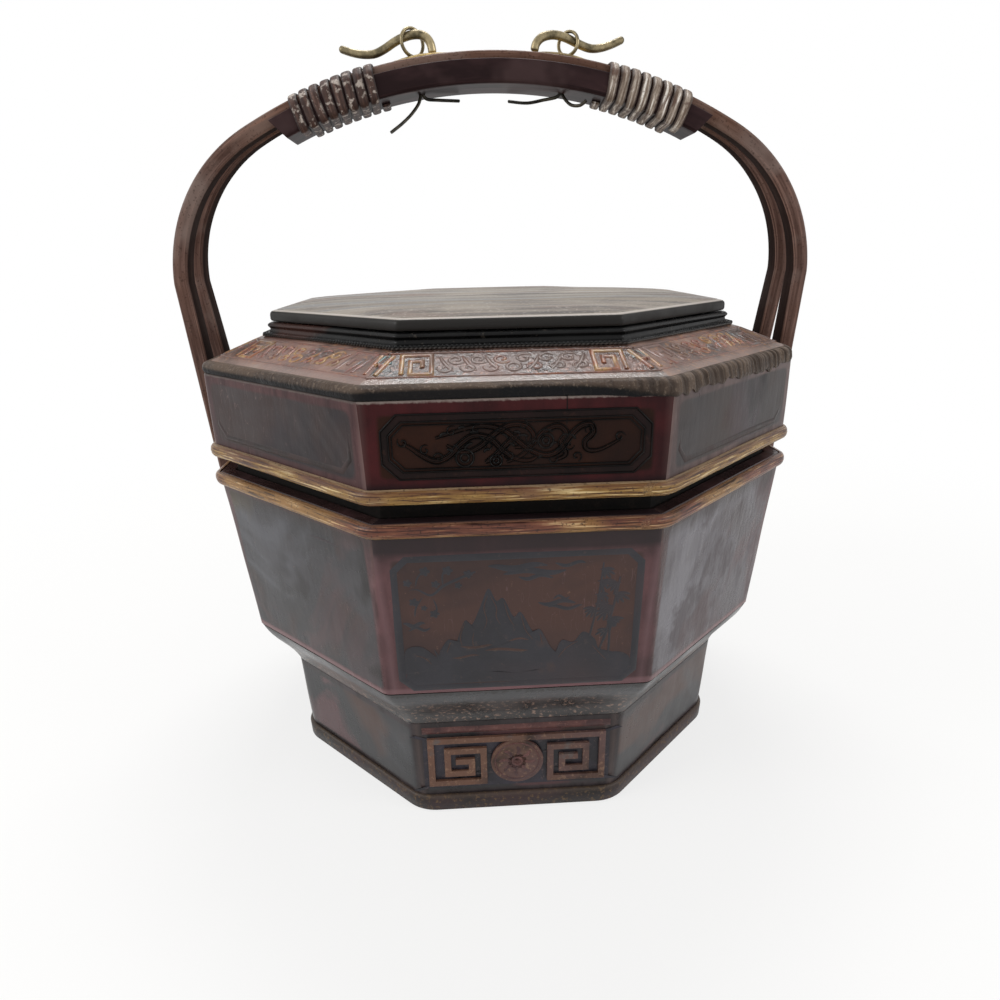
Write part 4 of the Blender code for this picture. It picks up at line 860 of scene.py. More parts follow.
def makeBead():
    # A bulging quarter turn from the wall in to the shoulder, creased across by shrinking.
    base = levels["lidHigh"] + (0, 0, 0.0003)
    crest = levels["shoulderLow"] + (0.0003, 0, 0)
    turn = np.linspace(0, np.pi / 2, 13)
    rows = [inward(base, 0.0070), inward(base, 0.0004)]
    for angle in turn:
        level = levelAt(base, crest, base[2] + (crest[2] - base[2]) * math.sin(angle))
        bulge = (base[0] - crest[0]) * (math.cos(angle) - 1 + math.sin(angle))
        rows.append(inward(level, -bulge - bead["proud"] * math.sin(2 * angle)))
    rows.append(np.array((crest[0], crest[1], bead["foot"])))
    grid = np.array([octagonLoop(level, bead["cornerRadius"], 290, 10) for level in rows])
    where, length = runLength(grid[6])
    out = loopNormals(grid[6])
    coarse, fine = (np.abs(ripple(where, length, count, seed)) for count, seed in bead["pleats"])
    creases = 0.6 * coarse + 0.6 * fine
    # deepest at the front right, where the shrunken skin has crept
    turned = np.arctan2(grid[6][:, 1], grid[6][:, 0])
    crept = np.exp(-((turned + 0.80) / 0.46) ** 4)
    fronted = np.exp(-((turned + 1.66) / 0.34) ** 4)
    strength = np.clip(0.30 + 0.8 * ripple(where, length, 9, 5) + 1.1 * crept, 0.10, 1.3)
    depth = np.zeros(len(rows))
    depth[2:-1] = np.sin(np.linspace(0.15, 2.9, len(turn)))
    shift = -bead["pleat"] * (creases * strength)[None, :] * depth[:, None]
    grid = grid + out[None] * shift[..., None] + np.array((0, 0, 0.4)) * shift[..., None]
    # and hangs as a ragged hem over the wall
    hem = bead["hem"] * crept * (0.7 + 0.9 * ripple(where, length, 150, 77))
    grid[1:5, :, 2] -= np.array((1, 1, 0.7, 0.3))[:, None] * hem
    grid[2:5] += out[None] * (np.array((0.0006, 0.0007, 0.0003))[:, None] * crept)[..., None]
    # lay: place round, height up the bead and crease depth; the finish paints shade into the creases and, low on
    # the bead, a painted shadow over the wall, reaching less high at the front right, where the bead hangs over
    # the wall, and higher at the front
    height = np.linspace(0, 1, len(rows))[:, None] + 0.4 * crept - 0.16 * fronted
    lay = together(where[None, :], height, (creases * strength)[None, :] * 2.2)
    shell = {"grid": grid, "ring": True, "lay": lay}
    makePiece("shoulder_bead", [shell], "rimBeadLacquer", "lid", 50)


makeBead()


# Cushioned top board in two planks

topBoard = {
    "edge": 0.2309, "crown": 0.0030, "power": 6, "wave": 0.00016, "joint": -0.0124, "gap": 0.0006,
    "cornerRadius": 0.0030, "groove": 0.0004,
    # inset from the edge and height, from the underside over the nose
    "nose": (
        (0.0010, 0.2262), (0.0004, 0.2264), (0.0, 0.2272), (0.0, 0.2290), (0.0002, 0.2299), (0.0008, 0.2306),
        (0.0018, 0.2310), (0.0032, 0.2312)),
    # from the underside up: out at the shoulder, a cove in, then a bead
    "step": (
        (0.0040, 0.2200), (0.0, 0.2200), (0.0, 0.2205), (0.0003, 0.2208), (0.0012, 0.2213), (0.0019, 0.2220),
        (0.0021, 0.2229), (0.0018, 0.2234), (0.0013, 0.2239), (0.0011, 0.2244), (0.0013, 0.2249), (0.0019, 0.2254),
        (0.0026, 0.2257), (0.0040, 0.2258)),
}


def topHeight(x, y):
    # height = edge + crown (1 - share^power), where share is how near a point is to the octagon's edge
    reach, face, _ = levels["topEdge"]
    share = np.maximum.reduce((np.abs(x) / reach, np.abs(y) / reach, (np.abs(x) + np.abs(y)) / (reach + face)))
    wave = np.sin(x * 61 + 1) * np.sin(y * 83 + 2) + 0.6 * np.sin(x * 23 - y * 131)
    wave = topBoard["wave"] * wave * np.clip(1 - share ** 4, 0, 1)
    return topBoard["edge"] + topBoard["crown"] * (1 - share ** topBoard["power"]) + wave


def topPlank(name, front):
    # Rings of the octagon cut straight at the joint, over the nose, then shrunk towards the middle.
    reach = levels["topEdge"][0]
    line = topBoard["joint"] + (-0.5 if front else 0.5) * topBoard["gap"]
    whole = octagonLoop(levels["topEdge"], topBoard["cornerRadius"], 26, 6)
    cut = whole[:, 1] > line if front else whole[:, 1] < line
    first = int(np.argmax(cut & ~np.roll(cut, 1)))
    count = int(cut.sum())
    rows = []
    noseTop, noseFoot = topBoard["nose"][-1][1], topBoard["nose"][0][1]
    for inset, height in topBoard["nose"]:
        loop = octagonLoop(inward(levels["topEdge"], inset), topBoard["cornerRadius"], 26, 6)
        loop = np.roll(loop, -first, axis=0)
        loop[:, 2] = height
        loop[:count, 0] = np.linspace(1, -1, count) * (reach - inset) * (1 if front else -1)
        loop[:count, 1] = line
        # the cut side goes on up to the crowned top
        climb = topHeight(loop[:count, 0], loop[:count, 1]) - topBoard["groove"] - noseTop
        loop[:count, 2] += np.maximum(climb, 0) * (height - noseFoot) / (noseTop - noseFoot)
        rows.append(loop)
    middle = np.array((0, (line - reach) / 2 if front else (line + reach) / 2))
    for share in np.concatenate(((0.997, 0.988, 0.97), np.linspace(0.94, 0.02, 30))):
        flat = middle + (rows[len(topBoard["nose"]) - 1][:, :2] - middle) * share
        rows.append(np.concatenate((flat, topHeight(flat[:, 0], flat[:, 1])[:, None]), axis=1))
    makePiece(name, [{"grid": np.array(rows)}], "wornTopLacquer", "lid", 35)


topPlank("top_plank_front", True)
topPlank("top_plank_back", False)


def makeStep():
    # a moulded octagon plate: cove and bead profile carried round
    base = levels["shoulderHigh"]
    rows = []
    for inset, height in topBoard["step"]:
        loop = octagonLoop(inward(base, inset), 0.0030, 30, 6)
        loop[:, 2] = height
        rows.append(loop)
    makePiece("lid_step", [{"grid": np.array(rows)}], "stepLacquer", "lid", 50)


makeStep()


# Twisted cord moulding round the foot of the step

rope = {"radius": 0.00055, "strands": 2, "pitch": 0.0036, "offset": 0.0006, "height": 0.2205}


def makeRope():
    # strands wind round a line that follows the step: centre + strand radius (cos, sin)
    level = levels["shoulderHigh"] + (rope["offset"], rope["offset"] * tanHalf, 0)
    level[2] = rope["height"]
    loop = octagonLoop(level, 0.0012, 150, 6)
    where, length = runLength(loop)
    turns = round(length / rope["pitch"])
    out = loopNormals(loop)
    up = np.array((0, 0, 1.0))
    shells = []
    for strand in range(rope["strands"]):
        angle = where / length * turns * 2 * np.pi + strand * 2 * np.pi / rope["strands"]
        centre = loop + rope["radius"] * 0.75 * (out * np.cos(angle)[:, None] + up * np.sin(angle)[:, None])
        around = roundTurn(6)
        ring = out[:, None] * np.cos(around)[None, :, None] + up * np.sin(around)[None, :, None]
        shells.append({"grid": centre[:, None] + rope["radius"] * ring, "ring": True})
    makePiece("step_rope", shells, "stepLacquer", "lid", 80)


makeRope()
print("lid top formed")


# Handle arch

arch = {
    "top": 0.3433, "crownRadius": 0.2400, "bendRadius": 0.0800, "slope": 0.120, "footHeight": 0.0030,
    "footOffset": 0.0225, "footDepth": 0.0165, "depth": 0.0088, "thickness": 0.0072, "gap": 0.0036,
    "spreadStart": 0.0200, "gripHalf": 0.1110, "hoopProud": 0.0034, "edgeRadius": 0.0016,
}


def setOutArch():
    # the outer contour: crown arc, tighter bend, leg to the hoop, and foot on the wall
    low = levelAt(levels["bodyLow"], levels["bodyHigh"], levels["bodyHigh"][2] - hoop["height"])
    across = arch["thickness"] * math.hypot(1, arch["slope"])
    hoopPoint = np.array((levels["bodyHigh"][0] + arch["hoopProud"] + 0.0003 + across, low[2]))
    footHeight = levels["bodyLow"][2] + arch["footHeight"]
    footInner = levelAt(levels["bodyLow"], levels["bodyHigh"], footHeight)[0] + 0.0003
    drop = hoopPoint[1] - footHeight
    lower = (hoopPoint[0] - across - footInner) / drop
    footPoint = np.array((footInner + arch["thickness"] * math.hypot(1, lower), footHeight))
    bottom, top = hoopPoint[1], arch["top"]
    crownCentre = arch["top"] - arch["crownRadius"]
    for _ in range(60):
        middle = (bottom + top) / 2
        x = hoopPoint[0] + arch["slope"] * (middle - hoopPoint[1]) - arch["bendRadius"]
        if math.hypot(x, middle - crownCentre) < arch["crownRadius"] - arch["bendRadius"]:
            bottom = middle
        else:
            top = middle
    crownAngle = math.atan2(x, middle - crownCentre)
    kink = np.array((x + arch["bendRadius"], middle))
    crownEnd = arch["crownRadius"] * crownAngle
    bendEnd = crownEnd + arch["bendRadius"] * (math.pi / 2 - crownAngle)
    legEnd = bendEnd + np.linalg.norm(kink - hoopPoint)
    footEnd = legEnd + np.linalg.norm(hoopPoint - footPoint)
    arch.update(centre=np.array((x, middle)), crownAngle=crownAngle, kink=kink, hoop=hoopPoint, foot=footPoint,
                crownEnd=crownEnd, bendEnd=bendEnd, legEnd=float(legEnd), footEnd=float(footEnd))


setOutArch()


def archFrame(length):
    # points and outward normals of the outer contour at lengths from the crown: an arc's radius (sin, cos)
    # of length / radius on crown and bend, then straight runs
    length = np.asarray(length, float)
    run, side = np.abs(length), np.where(length < 0, -1.0, 1.0)
    crown = run / arch["crownRadius"]
    bend = arch["crownAngle"] + (run - arch["crownEnd"]) / arch["bendRadius"]
    angle = np.where(run <= arch["crownEnd"], crown, bend)
    normal = np.stack((np.sin(angle), np.cos(angle)), -1)
    crownPoint = np.array((0, arch["top"] - arch["crownRadius"])) + arch["crownRadius"] * normal
    bendPoint = arch["centre"] + arch["bendRadius"] * normal
    point = np.where((run <= arch["crownEnd"])[..., None], crownPoint, bendPoint)
    # the change of slope at the hoop is eased over 12 mm
    for start, end, first, last in ((arch["kink"], arch["hoop"], arch["bendEnd"], arch["legEnd"]),
                                    (arch["hoop"], arch["foot"], arch["legEnd"], arch["footEnd"])):
        share = ((run - first) / (last - first))[..., None]
        step = unit(end - start)
        on = (run > first)[..., None]
        point = np.where(on, start + (end - start) * share, point)
        normal = np.where(on, np.array((-step[1], step[0])), normal)
    upper, lower = unit(arch["hoop"] - arch["kink"]), unit(arch["foot"] - arch["hoop"])
    blend = np.clip((run - arch["legEnd"]) / 0.012 + 0.5, 0, 1)[..., None]
    way = unit(upper * (1 - blend) + lower * blend)
    normal = np.where((run > arch["bendEnd"])[..., None], leftOf(way), normal)
    mirror = together(side, 1.0)
    return point * mirror, normal * mirror


def onArch(length, across, out):
    # points at lengths along the arch, across it towards the back, and out from it
    length, across, out = np.broadcast_arrays(np.asarray(length, float), across, out)
    point, normal = archFrame(length)
    flat = point + normal * out[..., None]
    return np.stack((flat[..., 0], across, flat[..., 1]), -1)


def legShare(length):
    beyond = np.maximum(np.abs(length) - arch["gripHalf"], 0)
    start = arch["spreadStart"]
    eased = np.where(beyond > start, beyond - start / 2, beyond ** 2 / (2 * start))
    return eased / (arch["footEnd"] - arch["gripHalf"] - start / 2)


def roundedSection(halfWide, low, high, radius, steps=4):
    # anticlockwise corners of a rounded oblong, each a quarter circle
    corner = np.array(((halfWide - radius, high - radius), (-halfWide + radius, high - radius),
                       (-halfWide + radius, low + radius), (halfWide - radius, low + radius)))
    angle = np.linspace(0, np.pi / 2, steps)[None, :] + (np.arange(4) * np.pi / 2)[:, None]
    arm = radius * beam(angle)
    return (corner[:, None] + arm).reshape(-1, 2)


def makeBar(name, bank, seed):
    # a bent bamboo bar: a rounded oblong carried along the arch, deeper down the leg
    ends = arch["footEnd"]
    gripEnd = arch["gripHalf"]
    length = np.concatenate((
        np.linspace(-ends, -gripEnd, 90), np.linspace(-gripEnd, gripEnd, 50)[1:-1],
        np.linspace(gripEnd, ends, 90)))
    share = legShare(length)
    touching = (arch["gap"] + arch["depth"]) / 2
    middle = bank * (touching + (arch["footOffset"] - touching) * share)
    half = (arch["depth"] + (arch["footDepth"] - arch["depth"]) * share) / 2
    section = []
    for size in half:
        section.append(roundedSection(size, -arch["thickness"], 0.0, arch["edgeRadius"], 5))
    section = np.array(section)
    # knife marks: the faces are a little uneven along the bar
    uneven = 0.00016 * ripple(length, 2 * ends, 60, seed, closed=False)
    section = section * (1 + uneven[:, None, None] * 40)
    section[..., 1] = np.minimum(section[..., 1], 0.0001)
    grid = onArch(length[:, None], middle[:, None] + section[..., 0], section[..., 1])
    around = np.linspace(0, 1, section.shape[1])
    lay = together(length[:, None], around[None, :] * 3, share[:, None])
    makePiece(name, [{"grid": grid, "lay": lay}], "handleBamboo", "basket", 50)


makeBar("front_arch_bar", -1, 31)
makeBar("back_arch_bar", 1, 32)


# Grip trough

grip = {"half": 0.1110, "cut": 0.0040, "ridge": 0.0040, "drop": 0.0142, "depth": 0.0275, "edgeRadius": 0.0022}


def makeGrip():
    # A trough under the bars: walls with rounded ridges and a rounded underside, its ends slanting
    # so that length = half - cut (depth below the ridge) / (whole depth).
    half, wall = grip["depth"] / 2, arch["gap"] / 2 + arch["depth"] + 0.0003
    floor, drop, radius = -arch["thickness"] - 0.0003, -grip["drop"], grip["edgeRadius"]
    angle = np.linspace(0, np.pi / 2, 7)
    ridge = np.stack(((wall + half) / 2 + (half - wall) / 2 * np.cos(np.linspace(np.pi, 0, 7)),
                      -grip["ridge"] - 0.0004 + 0.0004 * np.sin(np.linspace(np.pi, 0, 7))), -1)
    under = np.stack((half - radius + radius * np.cos(angle), drop + radius - radius * np.sin(angle)), -1)
    flat = np.stack((np.linspace(half - radius, 0, 6)[1:-1], np.full(4, drop)), -1)
    seat = ((0.0, floor), (wall - 0.0005, floor), (wall, floor + 0.0005))
    right = np.concatenate((seat, ridge, under, flat, ((0.0, drop),)))
    left = right[1:-1][::-1] * (-1, 1)
    section = np.concatenate((right, left))
    t = np.linspace(-1, 1, 90)
    end = grip["half"] - grip["cut"] * (-section[:, 1] - grip["ridge"]) / (grip["drop"] - grip["ridge"])
    length = t[:, None] * end[None, :]
    grid = onArch(length, section[None, :, 0], section[None, :, 1])
    around = np.linspace(0, 3, len(section))
    lay = together(length, around[None, :], 0.0)
    makePiece("grip_trough", [{"grid": grid, "lay": lay}], "gripBamboo", "basket", 40)


makeGrip()


# Rattan lashings

lashing = {"start": 0.0525, "turns": 8, "pitch": 0.0054, "width": 0.0046, "thickness": 0.0012, "wander": 0.00050}


def lashingLoop():
    # one turn round grip and bars, from the middle of the underside
    half, drop = grip["depth"] / 2 + 0.0003, -grip["drop"] - 0.0003
    wallTop, barSide, top = -grip["ridge"] + 0.0003, arch["gap"] / 2 + arch["depth"] - 0.0013, 0.0003
    side = [(half / 3, drop), (2 * half / 3, drop), (half - 0.0018, drop + 0.0001), (half - 0.0003, drop + 0.0016),
            (half, (2 * drop + wallTop) / 3), (half, (drop + 2 * wallTop) / 3), (half - 0.0001, wallTop),
            ((half + barSide) / 2, (wallTop + top) / 2 + 0.0004), (barSide, top),
            (2 * barSide / 3, top + 0.0002), (barSide / 3, top + 0.0002)]
    return np.array([(0, drop)] + side + [(0, top + 0.0002)] + [(-across, out) for across, out in reversed(side)])


def makeLashing(hand, side, coat, seed):
    # A half-round strip that climbs evenly with the way round, its width and place wandering a little.
    loop = lashingLoop()
    whole = np.concatenate([loop] * lashing["turns"] + [loop[:1]])
    line = smoothLine(whole, 4)
    steps = np.linalg.norm(np.diff(line, axis=0), axis=1)
    climbed = np.concatenate(((0,), np.cumsum(steps)))
    turnLength = climbed[-1] / lashing["turns"]
    out = -leftOf(unit(np.gradient(line, axis=0)))
    across = np.array((-1, -0.96, -0.75, -0.4, 0, 0.4, 0.75, 0.96, 1))
    over = np.array((0.02, 0.5, 0.86, 0.97, 1, 0.97, 0.86, 0.5, 0.02))
    wander = lashing["wander"] * ripple(climbed, climbed[-1], 40, seed, closed=False)
    width = lashing["width"] / 2 * (1 + 0.10 * ripple(climbed, climbed[-1], 60, seed + 1, closed=False))
    base = lashing["start"] + lashing["width"] / 2 + lashing["pitch"] * climbed / turnLength + wander
    length = side * base[:, None] + across[None, :] * width[:, None]
    thickness = lashing["thickness"] * (1 + 0.12 * ripple(climbed, climbed[-1], 50, seed + 2, closed=False))
    rise = over[None, :] * thickness[:, None]
    spotAcross = line[:, None, 0] + out[:, None, 0] * rise
    spotOut = line[:, None, 1] + out[:, None, 1] * rise
    grid = onArch(length, spotAcross, spotOut)
    lay = together(climbed[:, None], across[None, :], 0.0)
    makePiece(f"lashing_{hand}", [{"grid": grid, "lay": lay}], coat, "basket", 60)


makeLashing("right", 1, "rightRattan", 41)
makeLashing("left", -1, "leftRattan", 51)
print("handle bent and lashed")


# Brass plates, split-pin eyes and swan hooks

brass = {
    "plateMiddle": 0.0335, "plateHalfLength": 0.0150, "plateHalfWidth": 0.0080, "plateEdge": 0.0009,
    "plateDome": 0.0009, "eyePlace": 0.0360, "eyeStand": 0.0021, "wireWidth": 0.0020, "ringWire": 0.0015,
    "endWire": (0.0015, 0.0019),
    "wireSpacing": 0.0015, "eyeTurn": math.radians(-36), "hookRadius": 0.0020, "tipRadius": 0.0017,
    "eyeRadius": {"right": 0.0051, "left": 0.0060},
    "hookTurn": {"right": math.radians(9), "left": math.radians(8)},
    # swan hooks: distance out from the eye, then height above the bars
    "hookLine": {
        "right": ((-0.0159, 0.0020), (-0.0154, 0.0046), (-0.0132, 0.0073), (-0.0095, 0.0090), (-0.0055, 0.0096),
                  (-0.0010, 0.0092), (0.0042, 0.0081), (0.0093, 0.0072), (0.0133, 0.0074), (0.0177, 0.0088),
                  (0.0220, 0.0109), (0.0258, 0.0132)),
        "left": ((-0.0087, 0.0027), (-0.0085, 0.0058), (-0.0072, 0.0085), (-0.0045, 0.0104), (-0.0005, 0.0111),
                 (0.0040, 0.0108), (0.0085, 0.0097), (0.0130, 0.0081), (0.0172, 0.0070), (0.0207, 0.0069),
                 (0.0252, 0.0078), (0.0296, 0.0094), (0.0336, 0.0114)),
    },
    # bent wire ends under the grip, from the hole, along and down
    "innerWire": {"right": ((0.0022, 0.0014), (0.0090, 0.0026), (0.0180, 0.0040), (0.0290, 0.0034)),
                  "left": ((0.0022, 0.0016), (0.0080, 0.0021), (0.0150, 0.0025), (0.0210, 0.0028))},
    "outerWire": {"right": ((0.0022, 0.0024), (0.0060, 0.0046), (0.0105, 0.0046), (0.0135, 0.0026)),
                  "left": ((0.0022, 0.0036), (0.0076, 0.0080), (0.0140, 0.0118), (0.0205, 0.0150))},
}


def makePlate(hand, side):
    # an oval bent over the crown: half width sqrt(1 - share^2), rising edge + dome (1 - distance^2)
    share = np.cos(np.pi * (1 - np.linspace(0, 1, 33)))
    half = brass["plateHalfWidth"] * np.sqrt(0.02 + 0.98 * (1 - share ** 2))
    u = np.linspace(-1, 1, 13)
    across = half[:, None] * u[None, :]
    spread = np.minimum(share[:, None] ** 2 + (across / brass["plateHalfWidth"]) ** 2, 1)
    rim = 0.00035 * np.exp(-((spread - 0.80) / 0.07) ** 2)  # a struck line inside the edge
    edge = brass["plateEdge"] * np.clip((1.02 - spread) / 0.08, 0.35, 1)
    over = 0.0003 + edge + brass["plateDome"] * (1 - spread) - rim
    length = side * (brass["plateMiddle"] + brass["plateHalfLength"] * share)
    top = onArch(length[:, None], across, over)
    under = onArch(length[:, None], across, np.full_like(across, 0.0001))
    grid = np.concatenate((top, under[:, ::-1]), axis=1)
    makePiece(f"plate_{hand}", [{"grid": grid}], "agedBrassPlate", "basket", 45)


def turnedAxes(side, turn):
    point, normal = archFrame(np.array(side * brass["eyePlace"]))
    base, normal = np.array((point[0], 0, point[1])), np.array((normal[0], 0, normal[1]))
    out = np.array((normal[2], 0, -normal[0])) * side
    out = math.cos(turn) * out + math.sin(turn) * np.array((0, 1, 0))
    return base, out, normal, np.cross(normal, out)


def tube(path, halfThick, halfWide, axes, count):
    # an oval section (halfThick cos a, halfWide sin a) carried along a flat path in the eye's own plane
    base, out, normal, across = axes
    around = roundTurn(count)
    side = leftOf(unit(np.gradient(path, axis=0)))
    flat = path[:, None] + side[:, None] * (np.cos(around)[None, :] * halfThick)[..., None]
    return (base + flat[..., :1] * out + flat[..., 1:] * normal
            + (np.sin(around)[None, :] * halfWide)[..., None] * across)


def makeWire(name, path, thick, wide, axes, coat):
    makePiece(name, [{"grid": tube(path, thick / 2, wide / 2, axes, 12)}], coat, "basket", 60)


def makeEye(hand, side):
    # one wire: round the eye and down into the grip, and its two bent ends below the grip
    axes = turnedAxes(side, brass["eyeTurn"])
    split, radius = brass["wireSpacing"] / 2, brass["eyeRadius"][hand]
    flare = math.asin(split / radius)
    ringHeight = brass["eyeStand"] + radius * math.cos(flare)
    exitHeight = -grip["drop"] - 0.0003
    turn = np.linspace(0, 1, 40)
    angle = -np.pi / 2 - flare - (2 * np.pi - 2 * flare) * turn
    ring = np.stack((radius * np.cos(angle), ringHeight + radius * np.sin(angle)), -1)
    shaft = np.array(((-split, -0.0040), (-split, 0.0010)))
    ringPath = np.concatenate((shaft, ring, shaft[::-1] * (-1, 1)))
    makeWire(f"eye_pin_{hand}", ringPath, brass["ringWire"], brass["wireWidth"], axes, "agedBrassHook")
    for label, direction in (("inner", -1), ("outer", 1)):
        wire = brass[f"{label}Wire"][hand]
        bend = np.array(((0, 0), *wire))
        bend = smoothLine(np.stack((direction * (split + bend[:, 0]), exitHeight - bend[:, 1]), -1), 7)
        path = np.concatenate((((direction * split, exitHeight + 0.0030),), bend))
        makeWire(f"eye_wire_{label}_{hand}", path, *brass["endWire"], axes, "greyedPinWire")


def makeHook(hand, side):
    # a tapering round rod along a smooth line, closed by a rounded nose at each end
    line = smoothLine(brass["hookLine"][hand], 7)
    t = np.linspace(0, 1, len(line))
    width = brass["hookRadius"] - (brass["hookRadius"] - brass["tipRadius"]) * t ** 2
    nose = np.sin(np.linspace(0.25, 1, 4) * np.pi / 2)[:-1]
    reach = np.cos(np.linspace(0.25, 1, 4) * np.pi / 2)[:-1]
    back, ahead = unit(line[0] - line[1]), unit(line[-1] - line[-2])
    start = line[0] + back * (reach * width[0] * 0.6)[:, None]
    end = line[-1] + ahead * (reach[::-1] * width[-1])[:, None]
    line = np.concatenate((start, line, end))
    width = np.concatenate((nose * width[0], width, nose[::-1] * width[-1]))[:, None]
    grid = tube(line, width, width, turnedAxes(side, brass["hookTurn"][hand]), 16)
    makePiece(f"hook_{hand}", [{"grid": grid}], "agedBrassHook", f"hook_{hand}", 60)


for hand, side in (("right", 1), ("left", -1)):
    makePlate(hand, side)
    makeEye(hand, side)
    makeHook(hand, side)
print("brass fitted")


# Framed panels on lid and body

panels = {
    # half width, lowest and highest height of the band's middle line, cut corner, half band, rise, outline
    "lid": {"halfWidth": 0.0486, "low": 0.1769, "high": 0.1986, "cut": 0.0055, "strip": 0.0014,
            "rise": 0.0003, "outline": 0.00032},
    "body": {"halfWidth": 0.0491, "low": 0.0796, "high": 0.1424, "cut": 0.0050, "strip": 0.0016, "rise": 0.0003},
}


def cutOblong(halfWide, halfHigh, cut):
    # an oblong with its corners cut off, anticlockwise
    x, y = halfWide - cut, halfHigh - cut
    return np.array(((halfWide, -y), (halfWide, y), (x, halfHigh), (-x, halfHigh),
                     (-halfWide, y), (-halfWide, -y), (-x, -halfHigh), (x, -halfHigh)))


def panelFace(group, side):
    low, high = levels[f"{group}Low"], levels[f"{group}High"]
    panel = panels[group]
    face = faceFrame(side, levelAt(low, high, panel["low"]), levelAt(low, high, panel["high"]))
    lean = math.hypot(1, (high[0] - low[0]) / (high[2] - low[2]))
    return face, (panel["high"] - panel["low"]) / 2 * lean


for group in ("lid", "body"):
    panel = panels[group]
    for side in sideNames:
        if group == "body" and side in ("left", "right"):
            continue  # the handle's legs lie on these two
        face, halfHigh = panelFace(group, side)
        front = side == "front"
        path = cutOblong(panel["halfWidth"], halfHigh, panel["cut"])
        band = "charcoalPainting" if group == "body" else "lidBandLacquer" if front else "brownPanelLine"
        lines = [raisedLine(face, path, panel["strip"], panel["rise"], closed=True)]
        body = "lid" if group == "lid" else "basket"
        makePiece(f"{group}_frame_{side}", lines, band, body, 60)
        if group == "lid" and front:
            # hair lines along both edges of the band, and one more inside it
            lines = []
            for step, wide in ((-panel["strip"], 1.0), (panel["strip"], 1.0), (panel["strip"] + 0.0012, 0.8)):
                inner = cutOblong(panel["halfWidth"] - step, halfHigh - step, panel["cut"] - 0.4 * step)
                lines.append(raisedLine(face, inner, panel["outline"] * wide, 0.0006, closed=True))
            makePiece("lid_frame_outline", lines, "blackPanelLine", "lid", 60)


lidCarving = {
    # in millimetres from the middle of the panel: the ribbons' lines; rings by place and radius; curls by
    # place, starting angle and hand
    "ribbons": (
        ((-42, 1.5), (-39, -0.4), (-35, -3.4), (-30, -5.6), (-25, -3.6), (-21, 0.6), (-16, 3.6), (-10, 2.4),
         (-6, -1.6), (-1, -5.4), (5, -6.2), (9, -3)),
        ((-30, 3.2), (-24, 5.0), (-18, 6.6), (-12, 7.2), (-5, 5.4), (0, 1.4), (5, -2.6), (11, -4.6), (16, -2.4),
         (19, 1.8), (23, 5.8), (27, 6.6), (28, 3.4), (25, 0.2), (26, -3), (31, -3), (38, 0.6)),
        ((-26, 0.4), (-20, -2.6), (-14, -0.6), (-9, 3.6), (-3, 7.2), (3, 6.8), (6, 3), (4, -0.6), (-1, -1.2)),
        ((-4, -6.8), (2, -4), (6, 0.4), (10, 4.6), (15, 6.4), (18, 3.6), (16, 0), (18, -4.4), (14, -6.6)),
        ((-12, -6.6), (-8, -4), (-3, 1), (1, 3.8)),
    ),
    "rings": (
        (-19.5, -4.6, 3.3), (-19.5, -4.6, 1.6), (-8, -6.0, 2.2), (-8, -6.0, 1.0), (10.5, 1.0, 2.8),
        (10.5, 1.0, 1.3)),
    "curls": (
        (-42, 2, 2.4, 1), (38, 1.6, 0.2, 1), (-24, 5.6, 1.0, 1), (27, 5, 4.0, -1), (22, -5.4, 5.0, 1),
        (-29, -4.2, 3.4, -1), (-15, 6, 0, 1), (2, 7.4, 2, -1), (-3, -4, 3, 1), (13, -6, 1, -1), (-11, 0, 4, 1),
        (5, 1.4, 2, 1), (19, -1, 0, -1), (-34, -1.2, 1, 1)),
}
mm = 0.001


def lidScroll():
    # carved ribbons wound about one another, each with a line cut along both sides
    face, _ = panelFace("lid", "front")
    bodies, lines = [], []

    def cut(path, wide, rise=0.0008, **shape):
        lines.append(raisedLine(face, path, wide, rise, **shape))

    for ribbon in lidCarving["ribbons"]:
        path = smoothLine(np.array(ribbon) * mm, 6)
        size = 1 - 0.6 * np.abs(np.linspace(-1, 1, len(path))) ** 3
        bodies.append(raisedLine(face, path, 0.00095, 0.0006, taper=0.6))
        for hand in (-1, 1):
            cut(beside(path, hand * 0.00105 * size), 0.00026, taper=0.5)
        cut(path, 0.00018, taper=0.8)
    for x, y, radius in lidCarving["rings"]:
        cut(np.array((x, y)) * mm + beam(roundTurn(24)) * radius * mm, 0.00045, closed=True)
    for x, y, start, hand in lidCarving["curls"]:
        cut(spiral(np.array((x, y)) * mm, 0.0021, 1.1, start, hand), 0.00034, 0.0007, taper=0.7)
    # leaves between the ribbons, thickest in the middle of the panel
    dice = np.random.default_rng(5)
    for x in np.linspace(-27, 20, 22):
        y, lean, size = dice.uniform(-5.5, 6.5), dice.uniform(-0.7, 0.7), dice.uniform(2.5, 4.5)
        way = np.array((math.cos(lean), math.sin(lean))) * size / 2
        middle = np.array((x, y))
        leaf = smoothLine((middle - way, middle + (-0.6 * math.sin(lean), 0.6), middle + way), 5) * mm
        cut(leaf, 0.00060, 0.0007, taper=0.9)
    makePiece("lid_scroll_ribbons", bodies, "carvedRibbon", "lid", 60)
    makePiece("lid_scroll_lines", lines, "blackPanelLine", "lid", 60)


lidScroll()


